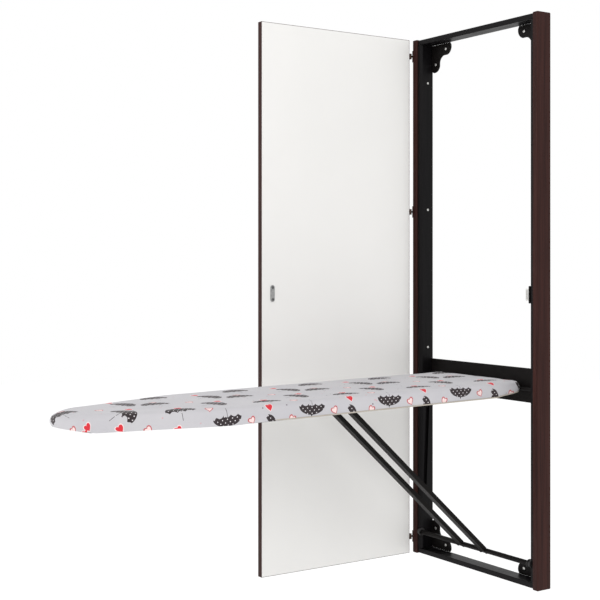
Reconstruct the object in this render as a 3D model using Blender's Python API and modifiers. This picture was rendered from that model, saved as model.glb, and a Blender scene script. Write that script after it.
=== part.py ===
"""Wall-hung ironing board in a slim wooden frame with a full-height cabinet door.

The frame hangs on the wall. X runs across it, Z is up, the wall is the plane Y = 0 and the
frame faces -Y. Heights below are measured from the bottom of the frame. One empty then lowers
everything, so that the origin is the centre of the wall rail's back face. The board is
modelled folded down, with the door open at a right angle.

How it moves: a pin at each side of the board's rear end turns in a shoe, and the shoe slides
in a groove of the frame. Two legs hang from the middle of the board and turn on a crossbar
low in the frame. As the nose goes up, the shoes slide down, until the board and its legs
stand flat between the stiles. When it is down, the board's nose hangs slightly low. The
board's own sizes are given as if it were level, and its parent empty then tilts it.
"""

from math import atan2, cos, pi, radians, sin, sqrt

import bmesh
import bpy
from mathutils import Matrix, Vector

# ---- driving dimensions, metres -------------------------------------------------------
GAP = 0.0003  # between pieces that touch

FRAME_WIDTH = 0.461
FRAME_HEIGHT = 1.350
FRAME_DEPTH = 0.043
STILE_THICKNESS = 0.0175
STILE_EDGE_RADIUS = 0.0025
GUIDE_THICKNESS = 0.0135
GUIDE_SETBACK = 0.0035  # from the stile's front edge
GUIDE_CHAMFER = 0.0055
RAIL_THICKNESS = 0.013
RAIL_SETBACK = 0.004
RAIL_END_STEP = 0.002  # the rails stop short of the stiles' ends
RAIL_EDGE_RADIUS = 0.0015

WALL_RAIL_THICKNESS = 0.005
WALL_RAIL_EDGE_RADIUS = 0.001
WALL_RAIL_LOW = 0.430
WALL_RAIL_HIGH = 0.512

GUSSET_THICKNESS = 0.0025
GUSSET_REACH_X = 0.076
GUSSET_REACH_Z = 0.072
GUSSET_LOBE = 0.021
GUSSET_WAIST = 0.030
GUSSET_WAIST_RADIUS = 0.020
GUSSET_TIP_STEP = 0.004
GUSSET_LOBE_RISE = 0.010  # lobe centre, from the plate's straight edge
GUSSET_HOLE_RISE = 0.0145

SCREW_HEAD_RADIUS = 0.0040
SCREW_HEAD_HEIGHT = 0.0016
SCREW_SHANK_RADIUS = 0.0018
SCREW_CLEARANCE = 0.0003
SCREW_PROFILE_ANGLES = (radians(80), radians(50), radians(20))
THROUGH = 0.02  # a cutter's length where it goes right through a thin piece
GUIDE_SCREW_HEIGHTS = (0.542, 0.903, 1.236)
GUIDE_SCREW_FROM_WALL = 0.017

PIVOT_FROM_WALL = 0.014  # rear pin, board down
PIVOT_HEIGHT = 0.4631
STORED_PIVOT_FROM_WALL = 0.0265  # rear pin, board up
CROSSBAR_FROM_WALL = 0.038
CROSSBAR_HEIGHT = 0.0586
LEG_PIVOT_FROM_WALL = 0.466  # on the level board
LEG_PIVOT_BELOW_PIN = 0.0075
BOARD_DROOP = radians(0.85)

PIN_RADIUS = 0.004
PIN_INNER_X = 0.104
PIN_END_FROM_GROOVE_FLOOR = 0.0012
BORE_CLEARANCE = 0.00018
SHOE_WIDTH = 0.0112
SHOE_LENGTH = 0.022
SHOE_THICKNESS = 0.0062
GROOVE_CLEARANCE = 0.0004
GROOVE_DEPTH = 0.0075

BOARD_HALF_WIDTH = 0.150
BOARD_NOSE = 1.136  # nose tip, distance from the wall
BOARD_FROM_PIN = 0.0005  # between the rear edge and the rear pins
BOARD_TOP_ABOVE_PIN = 0.020
BOARD_HEIGHT = 0.038
BOARD_REAR_HEIGHT = 0.020  # the underside rises towards both ends
BOARD_REAR_TAPER = 0.170
BOARD_TIP_HEIGHT = 0.029
BOARD_TIP_TAPER = 0.055
TAPER_OVERRUN = 0.001  # the taper's cutter starts this far below the underside
NOSE_RADIUS = 0.0706
NOSE_TAPER = radians(17.2)
SHOULDER_RADIUS = 0.250
REAR_CORNER_RADIUS = 0.012
PAD_THICKNESS = 0.008
SKIRT_THICKNESS = 0.0022
DECK_THICKNESS = 0.0015
RIM_THICKNESS = 0.0016
RIM_ABOVE_HEM = 0.0015

AXLE_BRACKET_X = 0.115
AXLE_BRACKET_THICKNESS = 0.0025
AXLE_BRACKET_LENGTH = 0.085  # forward of the board's rear edge
AXLE_BRACKET_HALF_HEIGHT = 0.0072
AXLE_BRACKET_NECK = (0.018, 0.022)  # where its upper edge rises to the deck, from the rear edge
AXLE_BRACKET_NOTCH = 0.0018
NOTCH_DEPTH = 0.03
LEG_BRACKET_THICKNESS = 0.003
LEG_BRACKET_LENGTH = 0.060
LEG_BRACKET_EYE = 0.0085
LEG_BRACKET_FROM_LEG = 0.0085

LEG_X = 0.042
LEG_WIDTH = 0.020
LEG_THICKNESS = 0.010
LEG_WALL = 0.0012
LEG_SOLID_END = 0.02  # the upper end is plugged around the pivot rod
LEG_EYE_RADIUS = 0.0068
CROSSBAR_RADIUS = 0.006
CROSSBAR_END_CLEARANCE = 0.0008
BUSH_RADIUS = 0.0105
BUSH_FLANGE = 0.0018
BUSH_BOSS_RADIUS = 0.008
BUSH_BOSS_LENGTH = 0.008

DOOR_NARROWER = 0.003  # than the frame
DOOR_THICKNESS = 0.016
DOOR_EDGE_RADIUS = 0.0008
HINGES_FROM_END = (0.042, 0.452)  # two hinges up from the bottom and two down from the top
HINGE_OUT = 0.002  # axis beyond the frame's side
HINGE_FRONT = 0.0065  # axis before the frame's front
HINGE_BARREL_RADIUS = 0.004
HINGE_NECK = 0.0028  # from the axis to where a leaf leaves its knuckle
HINGE_BARREL_HEIGHT = 0.0144
HINGE_PIN_RADIUS = 0.0015
HINGE_LEAF_THICKNESS = 0.0012
HINGE_LEAF_HEIGHT = 0.030
HINGE_FRAME_LEAF_LENGTH = 0.020
HINGE_PIN_PROUD = 0.0005
HINGE_DOOR_LEAF_MARGIN = 0.002  # from the door's front face
DOOR_FACE_FROM_AXIS = 0.003
DOOR_EDGE_FROM_BARREL = 0.0005

CATCH_HEIGHT = 0.689
CATCH_FROM_FRONT = 0.0125  # centre of the catch behind the frame's front plane
CATCH_BASE = (0.0040, 0.0150, 0.041)
CATCH_BODY = (0.0100, 0.0130, 0.028)
CATCH_EDGE_RADIUS = 0.0012
STRIKE_FROM_FREE_EDGE = 0.031
STRIKE_SIZE = (0.0016, 0.012, 0.041)

ARC_STEP = radians(12)
SMALL_ARC_STEP = radians(20)
FINE_ARC_STEP = radians(5)

# ---- derived sizes --------------------------------------------------------------------
ORIGIN_HEIGHT = (WALL_RAIL_LOW + WALL_RAIL_HIGH) / 2
SCREW_HOLE_RADIUS = SCREW_SHANK_RADIUS + SCREW_CLEARANCE
STILE_X = FRAME_WIDTH / 2 - STILE_THICKNESS / 2
STILE_INNER_X = FRAME_WIDTH / 2 - STILE_THICKNESS
GUIDE_X = STILE_INNER_X - GAP - GUIDE_THICKNESS / 2
INNER_X = STILE_INNER_X - GAP - GUIDE_THICKNESS
RAIL_INNER_LOW = RAIL_END_STEP + RAIL_THICKNESS
RAIL_INNER_HIGH = FRAME_HEIGHT - RAIL_INNER_LOW
GROOVE_FLOOR_X = INNER_X + GROOVE_DEPTH
PIN_OUTER_X = GROOVE_FLOOR_X - PIN_END_FROM_GROOVE_FLOOR

REST_PIVOT = Vector((0, -PIVOT_FROM_WALL, PIVOT_HEIGHT))
CROSSBAR_AXIS = Vector((0, -CROSSBAR_FROM_WALL, CROSSBAR_HEIGHT))
PIN_TO_LEG_PIVOT = Vector((0, PIVOT_FROM_WALL - LEG_PIVOT_FROM_WALL, -LEG_PIVOT_BELOW_PIN))
LEG_PIVOT_LEVEL = REST_PIVOT + PIN_TO_LEG_PIVOT
LEG_PIVOT = REST_PIVOT + Matrix.Rotation(BOARD_DROOP, 3, "X") @ PIN_TO_LEG_PIVOT
LEG_VECTOR = CROSSBAR_AXIS - LEG_PIVOT
# With the board up, the legs reach the same crossbar, and that sets the rear pin's height.
STORED_LEG_PIVOT_Y = -STORED_PIVOT_FROM_WALL + PIN_TO_LEG_PIVOT.z
STORED_LEG_RISE = sqrt(LEG_VECTOR.length_squared - (STORED_LEG_PIVOT_Y - CROSSBAR_AXIS.y) ** 2)
STORED_PIVOT_HEIGHT = CROSSBAR_HEIGHT + STORED_LEG_RISE + PIN_TO_LEG_PIVOT.y
STORED_PIVOT = Vector((0, -STORED_PIVOT_FROM_WALL, STORED_PIVOT_HEIGHT))
GROOVE_VECTOR = STORED_PIVOT - REST_PIVOT
GROOVE_TILT = atan2(-GROOVE_VECTOR.y, -GROOVE_VECTOR.z)
LEG_SLOPE = atan2(LEG_VECTOR.z, LEG_VECTOR.y)
LEG_BRACKET_X = LEG_X + LEG_WIDTH / 2 + LEG_BRACKET_FROM_LEG + LEG_BRACKET_THICKNESS / 2

BOARD_REAR = PIVOT_FROM_WALL + PIN_RADIUS + BOARD_FROM_PIN  # distance from the wall
BOARD_TOP = PIVOT_HEIGHT + BOARD_TOP_ABOVE_PIN
BOARD_UNDERSIDE = BOARD_TOP - BOARD_HEIGHT
DECK_TOP = BOARD_TOP - PAD_THICKNESS - GAP
DECK_UNDERSIDE = DECK_TOP - DECK_THICKNESS
RIM_OUTSET = SKIRT_THICKNESS + GAP

DOOR_WIDTH = FRAME_WIDTH - DOOR_NARROWER
DOOR_HEIGHT = FRAME_HEIGHT
HINGE_X = -FRAME_WIDTH / 2 - HINGE_OUT
HINGE_Y = -FRAME_DEPTH - HINGE_FRONT
HINGE_HEIGHTS = sorted([*HINGES_FROM_END, *(FRAME_HEIGHT - height for height in HINGES_FROM_END)])
DOOR_EDGE_FROM_AXIS = HINGE_BARREL_RADIUS + DOOR_EDGE_FROM_BARREL
DOOR_FACE_X = HINGE_X + DOOR_FACE_FROM_AXIS
DOOR_HINGE_EDGE_Y = HINGE_Y - DOOR_EDGE_FROM_AXIS


# ---- scene and helpers ----------------------------------------------------------------
def clear_scene():
    for obj in list(bpy.data.objects):
        bpy.data.objects.remove(obj, do_unlink=True)


def make_collection(name):
    collection = bpy.data.collections.new(name)
    bpy.context.scene.collection.children.link(collection)
    return collection


def make_material(name, colour, roughness, metallic=0.0):
    material = bpy.data.materials.new(name)
    material.use_nodes = True
    shader = material.node_tree.nodes["Principled BSDF"]
    shader.inputs["Base Color"].default_value = (*colour, 1.0)
    shader.inputs["Roughness"].default_value = roughness
    shader.inputs["Metallic"].default_value = metallic
    material.diffuse_color = (*colour, 1.0)
    return material


clear_scene()
PARTS = make_collection("wall_ironing_board")
CUTTERS = make_collection("cutters")
MATERIALS = {
    "wenge": make_material("wenge_veneer", (0.055, 0.026, 0.020), 0.45),
    "black_wood": make_material("black_inner_board", (0.012, 0.010, 0.010), 0.5),
    "black_steel": make_material("black_painted_steel", (0.016, 0.013, 0.012), 0.4),
    "zinc": make_material("zinc_plated_screw", (0.62, 0.62, 0.60), 0.3, 1.0),
    "hinge": make_material("bronzed_hinge", (0.05, 0.03, 0.022), 0.35, 0.8),
    "melamine": make_material("white_melamine", (0.84, 0.83, 0.81), 0.35),
    "nylon": make_material("white_nylon", (0.75, 0.74, 0.72), 0.4),
    "strike": make_material("strike_steel", (0.45, 0.45, 0.45), 0.35, 0.9),
    "fabric": make_material("printed_cotton", (0.62, 0.60, 0.62), 0.9),
}


def add_pivot(name, location, parent=None):
    pivot = bpy.data.objects.new(name, None)
    pivot.location = location
    pivot.empty_display_size = 0.03
    pivot.parent = parent
    PARTS.objects.link(pivot)
    return pivot


FRAME_BOTTOM = add_pivot("frame_bottom", (0, 0, -ORIGIN_HEIGHT))


def add_object(name, mesh, material, location=(0, 0, 0), rotation=(0, 0, 0), parent=FRAME_BOTTOM):
    obj = bpy.data.objects.new(name, mesh)
    PARTS.objects.link(obj)
    mesh.materials.clear()
    mesh.materials.append(MATERIALS[material])
    obj.location = location
    obj.rotation_euler = rotation
    obj.parent = parent
    return obj


def box_mesh(name, size, centre=(0, 0, 0)):
    mesh = bpy.data.meshes.new(name)
    shape = bmesh.new()
    place = Matrix.Translation(centre) @ Matrix.Diagonal((*size, 1))
    bmesh.ops.create_cube(shape, size=1.0, matrix=place)
    shape.to_mesh(mesh)
    shape.free()
    return mesh


def cylinder_mesh(name, radius, length, axis="Z", centre=(0, 0, 0), segments=24):
    turn = {"X": Matrix.Rotation(pi / 2, 4, "Y"), "Y": Matrix.Rotation(pi / 2, 4, "X"), "Z": Matrix()}
    mesh = bpy.data.meshes.new(name)
    shape = bmesh.new()
    bmesh.ops.create_cone(
        shape,
        cap_ends=True,
        segments=segments,
        radius1=radius,
        radius2=radius,
        depth=length,
        matrix=Matrix.Translation(centre) @ turn[axis],
    )
    shape.to_mesh(mesh)
    shape.free()
    mesh.shade_smooth()
    mesh.set_sharp_from_angle(angle=radians(40))
    return mesh


def outline_mesh(name, points, thickness):
    """A flat outline in the XY plane, filled and extruded evenly about Z = 0."""
    curve = bpy.data.curves.new(name + "_outline", "CURVE")
    curve.dimensions = "2D"
    curve.fill_mode = "BOTH"
    curve.extrude = thickness / 2
    spline = curve.splines.new("POLY")
    spline.points.add(len(points) - 1)
    for point, (x, y) in zip(spline.points, points):
        point.co = (x, y, 0, 1)
    spline.use_cyclic_u = True
    holder = bpy.data.objects.new(name + "_outline", curve)
    PARTS.objects.link(holder)
    graph = bpy.context.evaluated_depsgraph_get()
    mesh = bpy.data.meshes.new_from_object(holder.evaluated_get(graph))
    bpy.data.objects.remove(holder, do_unlink=True)
    bpy.data.curves.remove(curve)
    shape = bmesh.new()
    shape.from_mesh(mesh)
    bmesh.ops.remove_doubles(shape, verts=shape.verts, dist=1e-6)
    bmesh.ops.recalc_face_normals(shape, faces=shape.faces)
    shape.to_mesh(mesh)
    shape.free()
    mesh.name = name
    return mesh


def add_cutter(name, mesh, matrix=Matrix(), parent=FRAME_BOTTOM):
    cutter = bpy.data.objects.new(name, mesh)
    CUTTERS.objects.link(cutter)
    cutter.parent = parent
    cutter.matrix_local = matrix
    cutter.hide_render = True
    cutter.display_type = "WIRE"
    return cutter


def combine(obj, other, operation):
    modifier = obj.modifiers.new(operation.lower() + "_" + other.name, "BOOLEAN")
    modifier.object = other
    modifier.operation = operation
    modifier.solver = "EXACT"
    return modifier


def add_bevel(obj, width, segments=2, angle=radians(50)):
    modifier = obj.modifiers.new("rounded_edges", "BEVEL")
    modifier.width = width
    modifier.segments = segments
    modifier.limit_method = "ANGLE"
    modifier.angle_limit = angle
    return modifier


def arc(centre, radius, start, end, step=ARC_STEP):
    """Points on an arc, both ends included."""
    count = max(2, round(abs(end - start) / step))
    angles = [start + (end - start) * i / count for i in range(count + 1)]
    return [(centre[0] + radius * cos(a), centre[1] + radius * sin(a)) for a in angles]


# Turns a flat outline in XY into one in the YZ plane, extruded along X.
UPRIGHT = Matrix(((0, 0, 1, 0), (1, 0, 0, 0), (0, 1, 0, 0), (0, 0, 0, 1)))


# ---- fasteners ------------------------------------------------------------------------
def screw_mesh(shank_length):
    """A pan-head screw along +Z, with its head's underside at Z = 0 and its shank below."""
    profile = bpy.data.meshes.new("pan_head_screw_profile")
    rim = [(SCREW_HEAD_RADIUS * cos(a), SCREW_HEAD_HEIGHT * sin(a)) for a in SCREW_PROFILE_ANGLES]
    outline = [(0, SCREW_HEAD_HEIGHT), *rim, (SCREW_HEAD_RADIUS, 0), (SCREW_SHANK_RADIUS, 0)]
    outline += [(SCREW_SHANK_RADIUS, -shank_length), (0, -shank_length)]
    profile.from_pydata(
        [(x, 0, z) for x, z in outline], [(i, i + 1) for i in range(len(outline) - 1)], []
    )
    return profile


def add_screw(name, location, rotation, shank_length):
    screw = add_object(name, screw_mesh(shank_length), "zinc", location, rotation)
    turning = screw.modifiers.new("turned", "SCREW")
    turning.axis = "Z"
    turning.steps = 12
    turning.render_steps = 12
    turning.use_merge_vertices = True
    turning.merge_threshold = 0.00001
    turning.use_smooth_shade = True
    return screw


def screw_hole_mesh(axis, through=0.0):
    """A cutter for one screw's hole, longer than the material that it goes through."""
    return cylinder_mesh("screw_hole", SCREW_HOLE_RADIUS, through + THROUGH, axis, segments=12)


def pin_bore_mesh(through):
    """A cutter for the running fit of a rear pin or of the legs' pivot rod, along X."""
    return cylinder_mesh("pin_bore", PIN_RADIUS + BORE_CLEARANCE, through + THROUGH, "X")


FACING_ROOM = (radians(90), 0, 0)
FACING_RIGHT = (0, radians(90), 0)
FACING_LEFT = (0, radians(-90), 0)


# ---- the frame ------------------------------------------------------------------------
def add_stiles():
    for side, name in ((-1, "left_stile"), (1, "right_stile")):
        mesh = box_mesh(name, (STILE_THICKNESS, FRAME_DEPTH, FRAME_HEIGHT))
        centre = (side * STILE_X, -FRAME_DEPTH / 2, FRAME_HEIGHT / 2)
        add_bevel(add_object(name, mesh, "wenge", centre), STILE_EDGE_RADIUS)


def groove_cutter(name, side):
    """The shoe's run, both ends round, tilted as the groove leans towards the room."""
    half_width = SHOE_WIDTH / 2 + GROOVE_CLEARANCE
    half_run = GROOVE_VECTOR.length / 2 + (SHOE_LENGTH - SHOE_WIDTH) / 2 + GROOVE_CLEARANCE
    top = arc((0, half_run), half_width, 0, pi, SMALL_ARC_STEP)
    bottom = arc((0, -half_run), half_width, pi, 2 * pi, SMALL_ARC_STEP)
    mesh = outline_mesh(name, top + bottom, GROOVE_DEPTH * 2)
    middle = (REST_PIVOT + STORED_PIVOT) / 2 + Vector((side * INNER_X, 0, 0))
    tilt = Matrix.Rotation(-GROOVE_TILT, 4, "X")
    return add_cutter(name, mesh, Matrix.Translation(middle) @ tilt @ UPRIGHT)


def add_guide_boards():
    depth = FRAME_DEPTH - GUIDE_SETBACK
    low = RAIL_INNER_LOW + GAP
    high = RAIL_INNER_HIGH - GAP
    for side, name in ((-1, "left"), (1, "right")):
        section = [
            (GUIDE_THICKNESS / 2, 0),
            (GUIDE_THICKNESS / 2, -depth),
            (GUIDE_CHAMFER - GUIDE_THICKNESS / 2, -depth),
            (-GUIDE_THICKNESS / 2, GUIDE_CHAMFER - depth),
            (-GUIDE_THICKNESS / 2, 0),
        ]
        mesh = outline_mesh(name + "_guide_board", [(side * x, y) for x, y in section], high - low)
        centre = (side * GUIDE_X, 0, (low + high) / 2)
        guide = add_object(name + "_guide_board", mesh, "black_wood", centre)
        combine(guide, groove_cutter(name + "_groove", side), "DIFFERENCE")
        for number, height in enumerate(GUIDE_SCREW_HEIGHTS, 1):
            place = (side * GUIDE_X, -GUIDE_SCREW_FROM_WALL, height)
            hole = screw_hole_mesh("X", GUIDE_THICKNESS)
            cutter = add_cutter(f"{name}_guide_hole_{number}", hole, Matrix.Translation(place))
            combine(guide, cutter, "DIFFERENCE")
        bush_hole = cylinder_mesh("bush_hole", BUSH_BOSS_RADIUS + GAP, 2 * (BUSH_BOSS_LENGTH + 2 * GAP), "X")
        place = (side * INNER_X, CROSSBAR_AXIS.y, CROSSBAR_AXIS.z)
        combine(guide, add_cutter(name + "_bush_hole", bush_hole, Matrix.Translation(place)), "DIFFERENCE")


def add_guide_screws():
    for side, name, facing in ((-1, "left", FACING_RIGHT), (1, "right", FACING_LEFT)):
        for number, height in enumerate(GUIDE_SCREW_HEIGHTS, 1):
            place = (side * (INNER_X - GAP), -GUIDE_SCREW_FROM_WALL, height)
            add_screw(f"{name}_guide_screw_{number}", place, facing, GUIDE_THICKNESS)


def add_rails():
    length = 2 * (STILE_INNER_X - GAP)
    depth = FRAME_DEPTH - RAIL_SETBACK
    for name, centre_z in (
        ("bottom_rail", RAIL_END_STEP + RAIL_THICKNESS / 2),
        ("top_rail", FRAME_HEIGHT - RAIL_END_STEP - RAIL_THICKNESS / 2),
    ):
        mesh = box_mesh(name, (length, depth, RAIL_THICKNESS))
        rail = add_object(name, mesh, "black_wood", (0, -depth / 2, centre_z))
        add_bevel(rail, RAIL_EDGE_RADIUS)


def add_wall_rail():
    size = (2 * (INNER_X - GAP), WALL_RAIL_THICKNESS, WALL_RAIL_HIGH - WALL_RAIL_LOW)
    centre = (0, -WALL_RAIL_THICKNESS / 2, (WALL_RAIL_LOW + WALL_RAIL_HIGH) / 2)
    rail = add_object("wall_rail", box_mesh("wall_rail", size), "black_steel", centre)
    add_bevel(rail, WALL_RAIL_EDGE_RADIUS, 1)


def gusset_outline():
    """The corner plate seen from the room, its square corner at the origin, arms along +X and +Y."""
    lobe_x = (GUSSET_REACH_X - GUSSET_LOBE, GUSSET_LOBE_RISE)
    lobe_z = (GUSSET_LOBE_RISE, GUSSET_REACH_Z - GUSSET_LOBE)
    waist = GUSSET_WAIST + GUSSET_WAIST_RADIUS
    points = [(0, 0), (GUSSET_REACH_X - GUSSET_TIP_STEP, 0)]
    points += arc(lobe_x, GUSSET_LOBE, radians(-10), radians(75), radians(16))
    points += arc((waist, waist), GUSSET_WAIST_RADIUS, radians(262), radians(188), radians(16))
    points += arc(lobe_z, GUSSET_LOBE, radians(15), radians(100), radians(16))
    points += [(0, GUSSET_REACH_Z - GUSSET_TIP_STEP)]
    return points


def gusset_holes():
    """Where the two holes are, from the plate's square corner."""
    return (
        (GUSSET_REACH_X - GUSSET_LOBE, GUSSET_HOLE_RISE),
        (GUSSET_HOLE_RISE, GUSSET_REACH_Z - GUSSET_LOBE),
    )


def add_gussets():
    for side, side_name in ((-1, "left"), (1, "right")):
        for end, end_name in ((-1, "bottom"), (1, "top")):
            name = f"{end_name}_{side_name}_gusset"
            corner_z = RAIL_INNER_HIGH - GAP if end > 0 else RAIL_INNER_LOW + GAP
            corner = Vector((side * (INNER_X - GAP), -GUSSET_THICKNESS / 2, corner_z))
            points = [(-side * x, -end * z) for x, z in gusset_outline()]
            mesh = outline_mesh(name, points, GUSSET_THICKNESS)
            gusset = add_object(name, mesh, "black_steel", corner, FACING_ROOM)
            for number, (x, z) in enumerate(gusset_holes(), 1):
                place = corner + Vector((-side * x, 0, -end * z))
                hole = screw_hole_mesh("Y")
                cutter = add_cutter(f"{name}_hole_{number}", hole, Matrix.Translation(place))
                combine(gusset, cutter, "DIFFERENCE")
                head = (place.x, -GUSSET_THICKNESS - GAP, place.z)
                add_screw(f"{name}_screw_{number}", head, FACING_ROOM, GUSSET_THICKNESS)


def add_crossbar_bushes():
    """A flanged bush in each guide board, facing the end of the legs' crossbar."""
    for side, name in ((-1, "left"), (1, "right")):
        flange_x = side * (INNER_X - GAP - BUSH_FLANGE / 2)
        mesh = cylinder_mesh(name + "_crossbar_bush", BUSH_RADIUS, BUSH_FLANGE, "X")
        place = (flange_x, CROSSBAR_AXIS.y, CROSSBAR_AXIS.z)
        bush = add_object(name + "_crossbar_bush", mesh, "nylon", place)
        boss_length = BUSH_BOSS_LENGTH + BUSH_FLANGE / 2
        boss = cylinder_mesh(name + "_boss", BUSH_BOSS_RADIUS, boss_length, "X")
        boss_x = flange_x + side * boss_length / 2
        place = Matrix.Translation((boss_x, CROSSBAR_AXIS.y, CROSSBAR_AXIS.z))
        combine(bush, add_cutter(name + "_boss", boss, place), "UNION")


def add_catch():
    """The magnetic catch that holds the door shut, on the right guide board."""
    inner_face = INNER_X - GAP
    for name, size, material in (
        ("catch_base", CATCH_BASE, "black_steel"),
        ("catch_magnet", CATCH_BODY, "nylon"),
    ):
        centre = (inner_face - size[0] / 2, CATCH_FROM_FRONT - FRAME_DEPTH, CATCH_HEIGHT)
        add_bevel(add_object(name, box_mesh(name, size), material, centre), CATCH_EDGE_RADIUS)
        inner_face -= size[0] + GAP


# ---- the door and its hinges ----------------------------------------------------------
def add_knuckle(obj, name, centre_z, height):
    barrel = cylinder_mesh(name, HINGE_BARREL_RADIUS, height, "Z", segments=16)
    cutter = add_cutter(name, barrel, Matrix.Translation((0, 0, centre_z)), obj.parent)
    combine(obj, cutter, "UNION")


def hinge_leaf(name, pivot, size, centre, knuckles):
    """A leaf with its knuckles, bored for the pin. Positions are from the hinge's axis."""
    leaf = add_object(name, box_mesh(name, size, centre), "hinge", parent=pivot)
    for index, (z, height) in enumerate(knuckles, 1):
        add_knuckle(leaf, f"{name}_knuckle_{index}", z, height)
    length = HINGE_BARREL_HEIGHT + THROUGH
    bore = cylinder_mesh(name + "_bore", HINGE_PIN_RADIUS + BORE_CLEARANCE, length, "Z", segments=16)
    combine(leaf, add_cutter(f"{name}_bore", bore, Matrix(), pivot), "DIFFERENCE")
    return leaf


def add_hinge(number, height):
    """One butt hinge: a leaf on the stile's side, a leaf on the door's edge, and the pin."""
    frame_pivot = add_pivot(f"hinge_{number}_frame_side", (HINGE_X, HINGE_Y, height), FRAME_BOTTOM)
    door_pivot = add_pivot(f"hinge_{number}_door_side", (HINGE_X, HINGE_Y, height), FRAME_BOTTOM)
    knuckle = HINGE_BARREL_HEIGHT / 3 - GAP
    step = HINGE_BARREL_HEIGHT / 3
    leaf_x = HINGE_OUT - GAP - HINGE_LEAF_THICKNESS / 2
    length = HINGE_FRAME_LEAF_LENGTH
    size = (HINGE_LEAF_THICKNESS, length, knuckle)
    leaf = hinge_leaf(
        f"hinge_{number}_frame_leaf",
        frame_pivot,
        size,
        (leaf_x, HINGE_NECK + length / 2, 0),
        [(0, knuckle)],
    )
    plate_length = length - HINGE_FRONT + HINGE_NECK
    plate_size = (HINGE_LEAF_THICKNESS, plate_length, HINGE_LEAF_HEIGHT)
    plate = box_mesh(f"hinge_{number}_frame_plate", plate_size)
    place = Matrix.Translation((leaf_x, HINGE_FRONT + plate_length / 2, 0))
    combine(leaf, add_cutter(f"hinge_{number}_frame_plate", plate, place, frame_pivot), "UNION")

    leaf_y = -DOOR_EDGE_FROM_AXIS + GAP + HINGE_LEAF_THICKNESS / 2
    width = DOOR_THICKNESS - DOOR_FACE_FROM_AXIS - HINGE_DOOR_LEAF_MARGIN
    size = (width, HINGE_LEAF_THICKNESS, HINGE_BARREL_HEIGHT)
    leaf = hinge_leaf(
        f"hinge_{number}_door_leaf",
        door_pivot,
        size,
        (-width / 2, leaf_y, 0),
        [(step, knuckle), (-step, knuckle)],
    )
    slot_width = 2 * (HINGE_BARREL_RADIUS + GAP)
    slot = box_mesh(f"hinge_{number}_slot", (slot_width, slot_width, knuckle + 2 * GAP))
    combine(leaf, add_cutter(f"hinge_{number}_slot", slot, Matrix(), door_pivot), "DIFFERENCE")

    pin_length = HINGE_BARREL_HEIGHT + 2 * HINGE_PIN_PROUD
    pin = cylinder_mesh("hinge_pin", HINGE_PIN_RADIUS, pin_length, "Z", segments=16)
    add_object(f"hinge_{number}_pin", pin, "hinge", parent=frame_pivot)


def add_door():
    pivot = add_pivot("door_axis", (HINGE_X, HINGE_Y, 0), FRAME_BOTTOM)
    centre = (
        DOOR_FACE_X - DOOR_THICKNESS / 2 - HINGE_X,
        DOOR_HINGE_EDGE_Y - DOOR_WIDTH / 2 - HINGE_Y,
        DOOR_HEIGHT / 2,
    )
    mesh = box_mesh("door_panel", (DOOR_THICKNESS, DOOR_WIDTH, DOOR_HEIGHT))
    door = add_object("door_panel", mesh, "melamine", centre, parent=pivot)
    add_bevel(door, DOOR_EDGE_RADIUS, 1)
    add_strike()


def add_strike():
    """An oblong steel plate that the magnet holds, with a screw at each end."""
    thickness, width, height = STRIKE_SIZE
    radius = width / 2
    straight = height / 2 - radius
    points = arc((0, straight), radius, 0, pi, SMALL_ARC_STEP)
    points += arc((0, -straight), radius, pi, 2 * pi, SMALL_ARC_STEP)
    y = DOOR_HINGE_EDGE_Y - DOOR_WIDTH + STRIKE_FROM_FREE_EDGE
    place = Vector((DOOR_FACE_X + GAP + thickness / 2, y, CATCH_HEIGHT))
    mesh = outline_mesh("strike_plate", points, thickness)
    mesh.transform(UPRIGHT)
    plate = add_object("strike_plate", mesh, "strike", place)
    for number, end in ((1, 1), (2, -1)):
        hole_place = place + Vector((0, 0, end * straight))
        hole = add_cutter(f"strike_hole_{number}", screw_hole_mesh("X"), Matrix.Translation(hole_place))
        combine(plate, hole, "DIFFERENCE")
        head = (DOOR_FACE_X + 2 * GAP + thickness, y, hole_place.z)
        add_screw(f"strike_screw_{number}", head, FACING_RIGHT, thickness)


# ---- the sliding shoes ----------------------------------------------------------------
def add_shoes():
    """A nylon shoe at each side, in its groove, bored for the board's rear pin."""
    straight = (SHOE_LENGTH - SHOE_WIDTH) / 2
    points = arc((0, straight), SHOE_WIDTH / 2, 0, pi, SMALL_ARC_STEP)
    points += arc((0, -straight), SHOE_WIDTH / 2, pi, 2 * pi, SMALL_ARC_STEP)
    for side, name in ((-1, "left"), (1, "right")):
        mesh = outline_mesh(name + "_guide_shoe", points, SHOE_THICKNESS)
        mesh.transform(UPRIGHT)
        x = side * (GROOVE_FLOOR_X - GAP - SHOE_THICKNESS / 2)
        place = REST_PIVOT + Vector((x, 0, 0))
        shoe = add_object(name + "_guide_shoe", mesh, "nylon", place, (-GROOVE_TILT, 0, 0))
        bore = pin_bore_mesh(SHOE_THICKNESS)
        combine(shoe, add_cutter(name + "_shoe_bore", bore, Matrix.Translation(place)), "DIFFERENCE")


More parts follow.
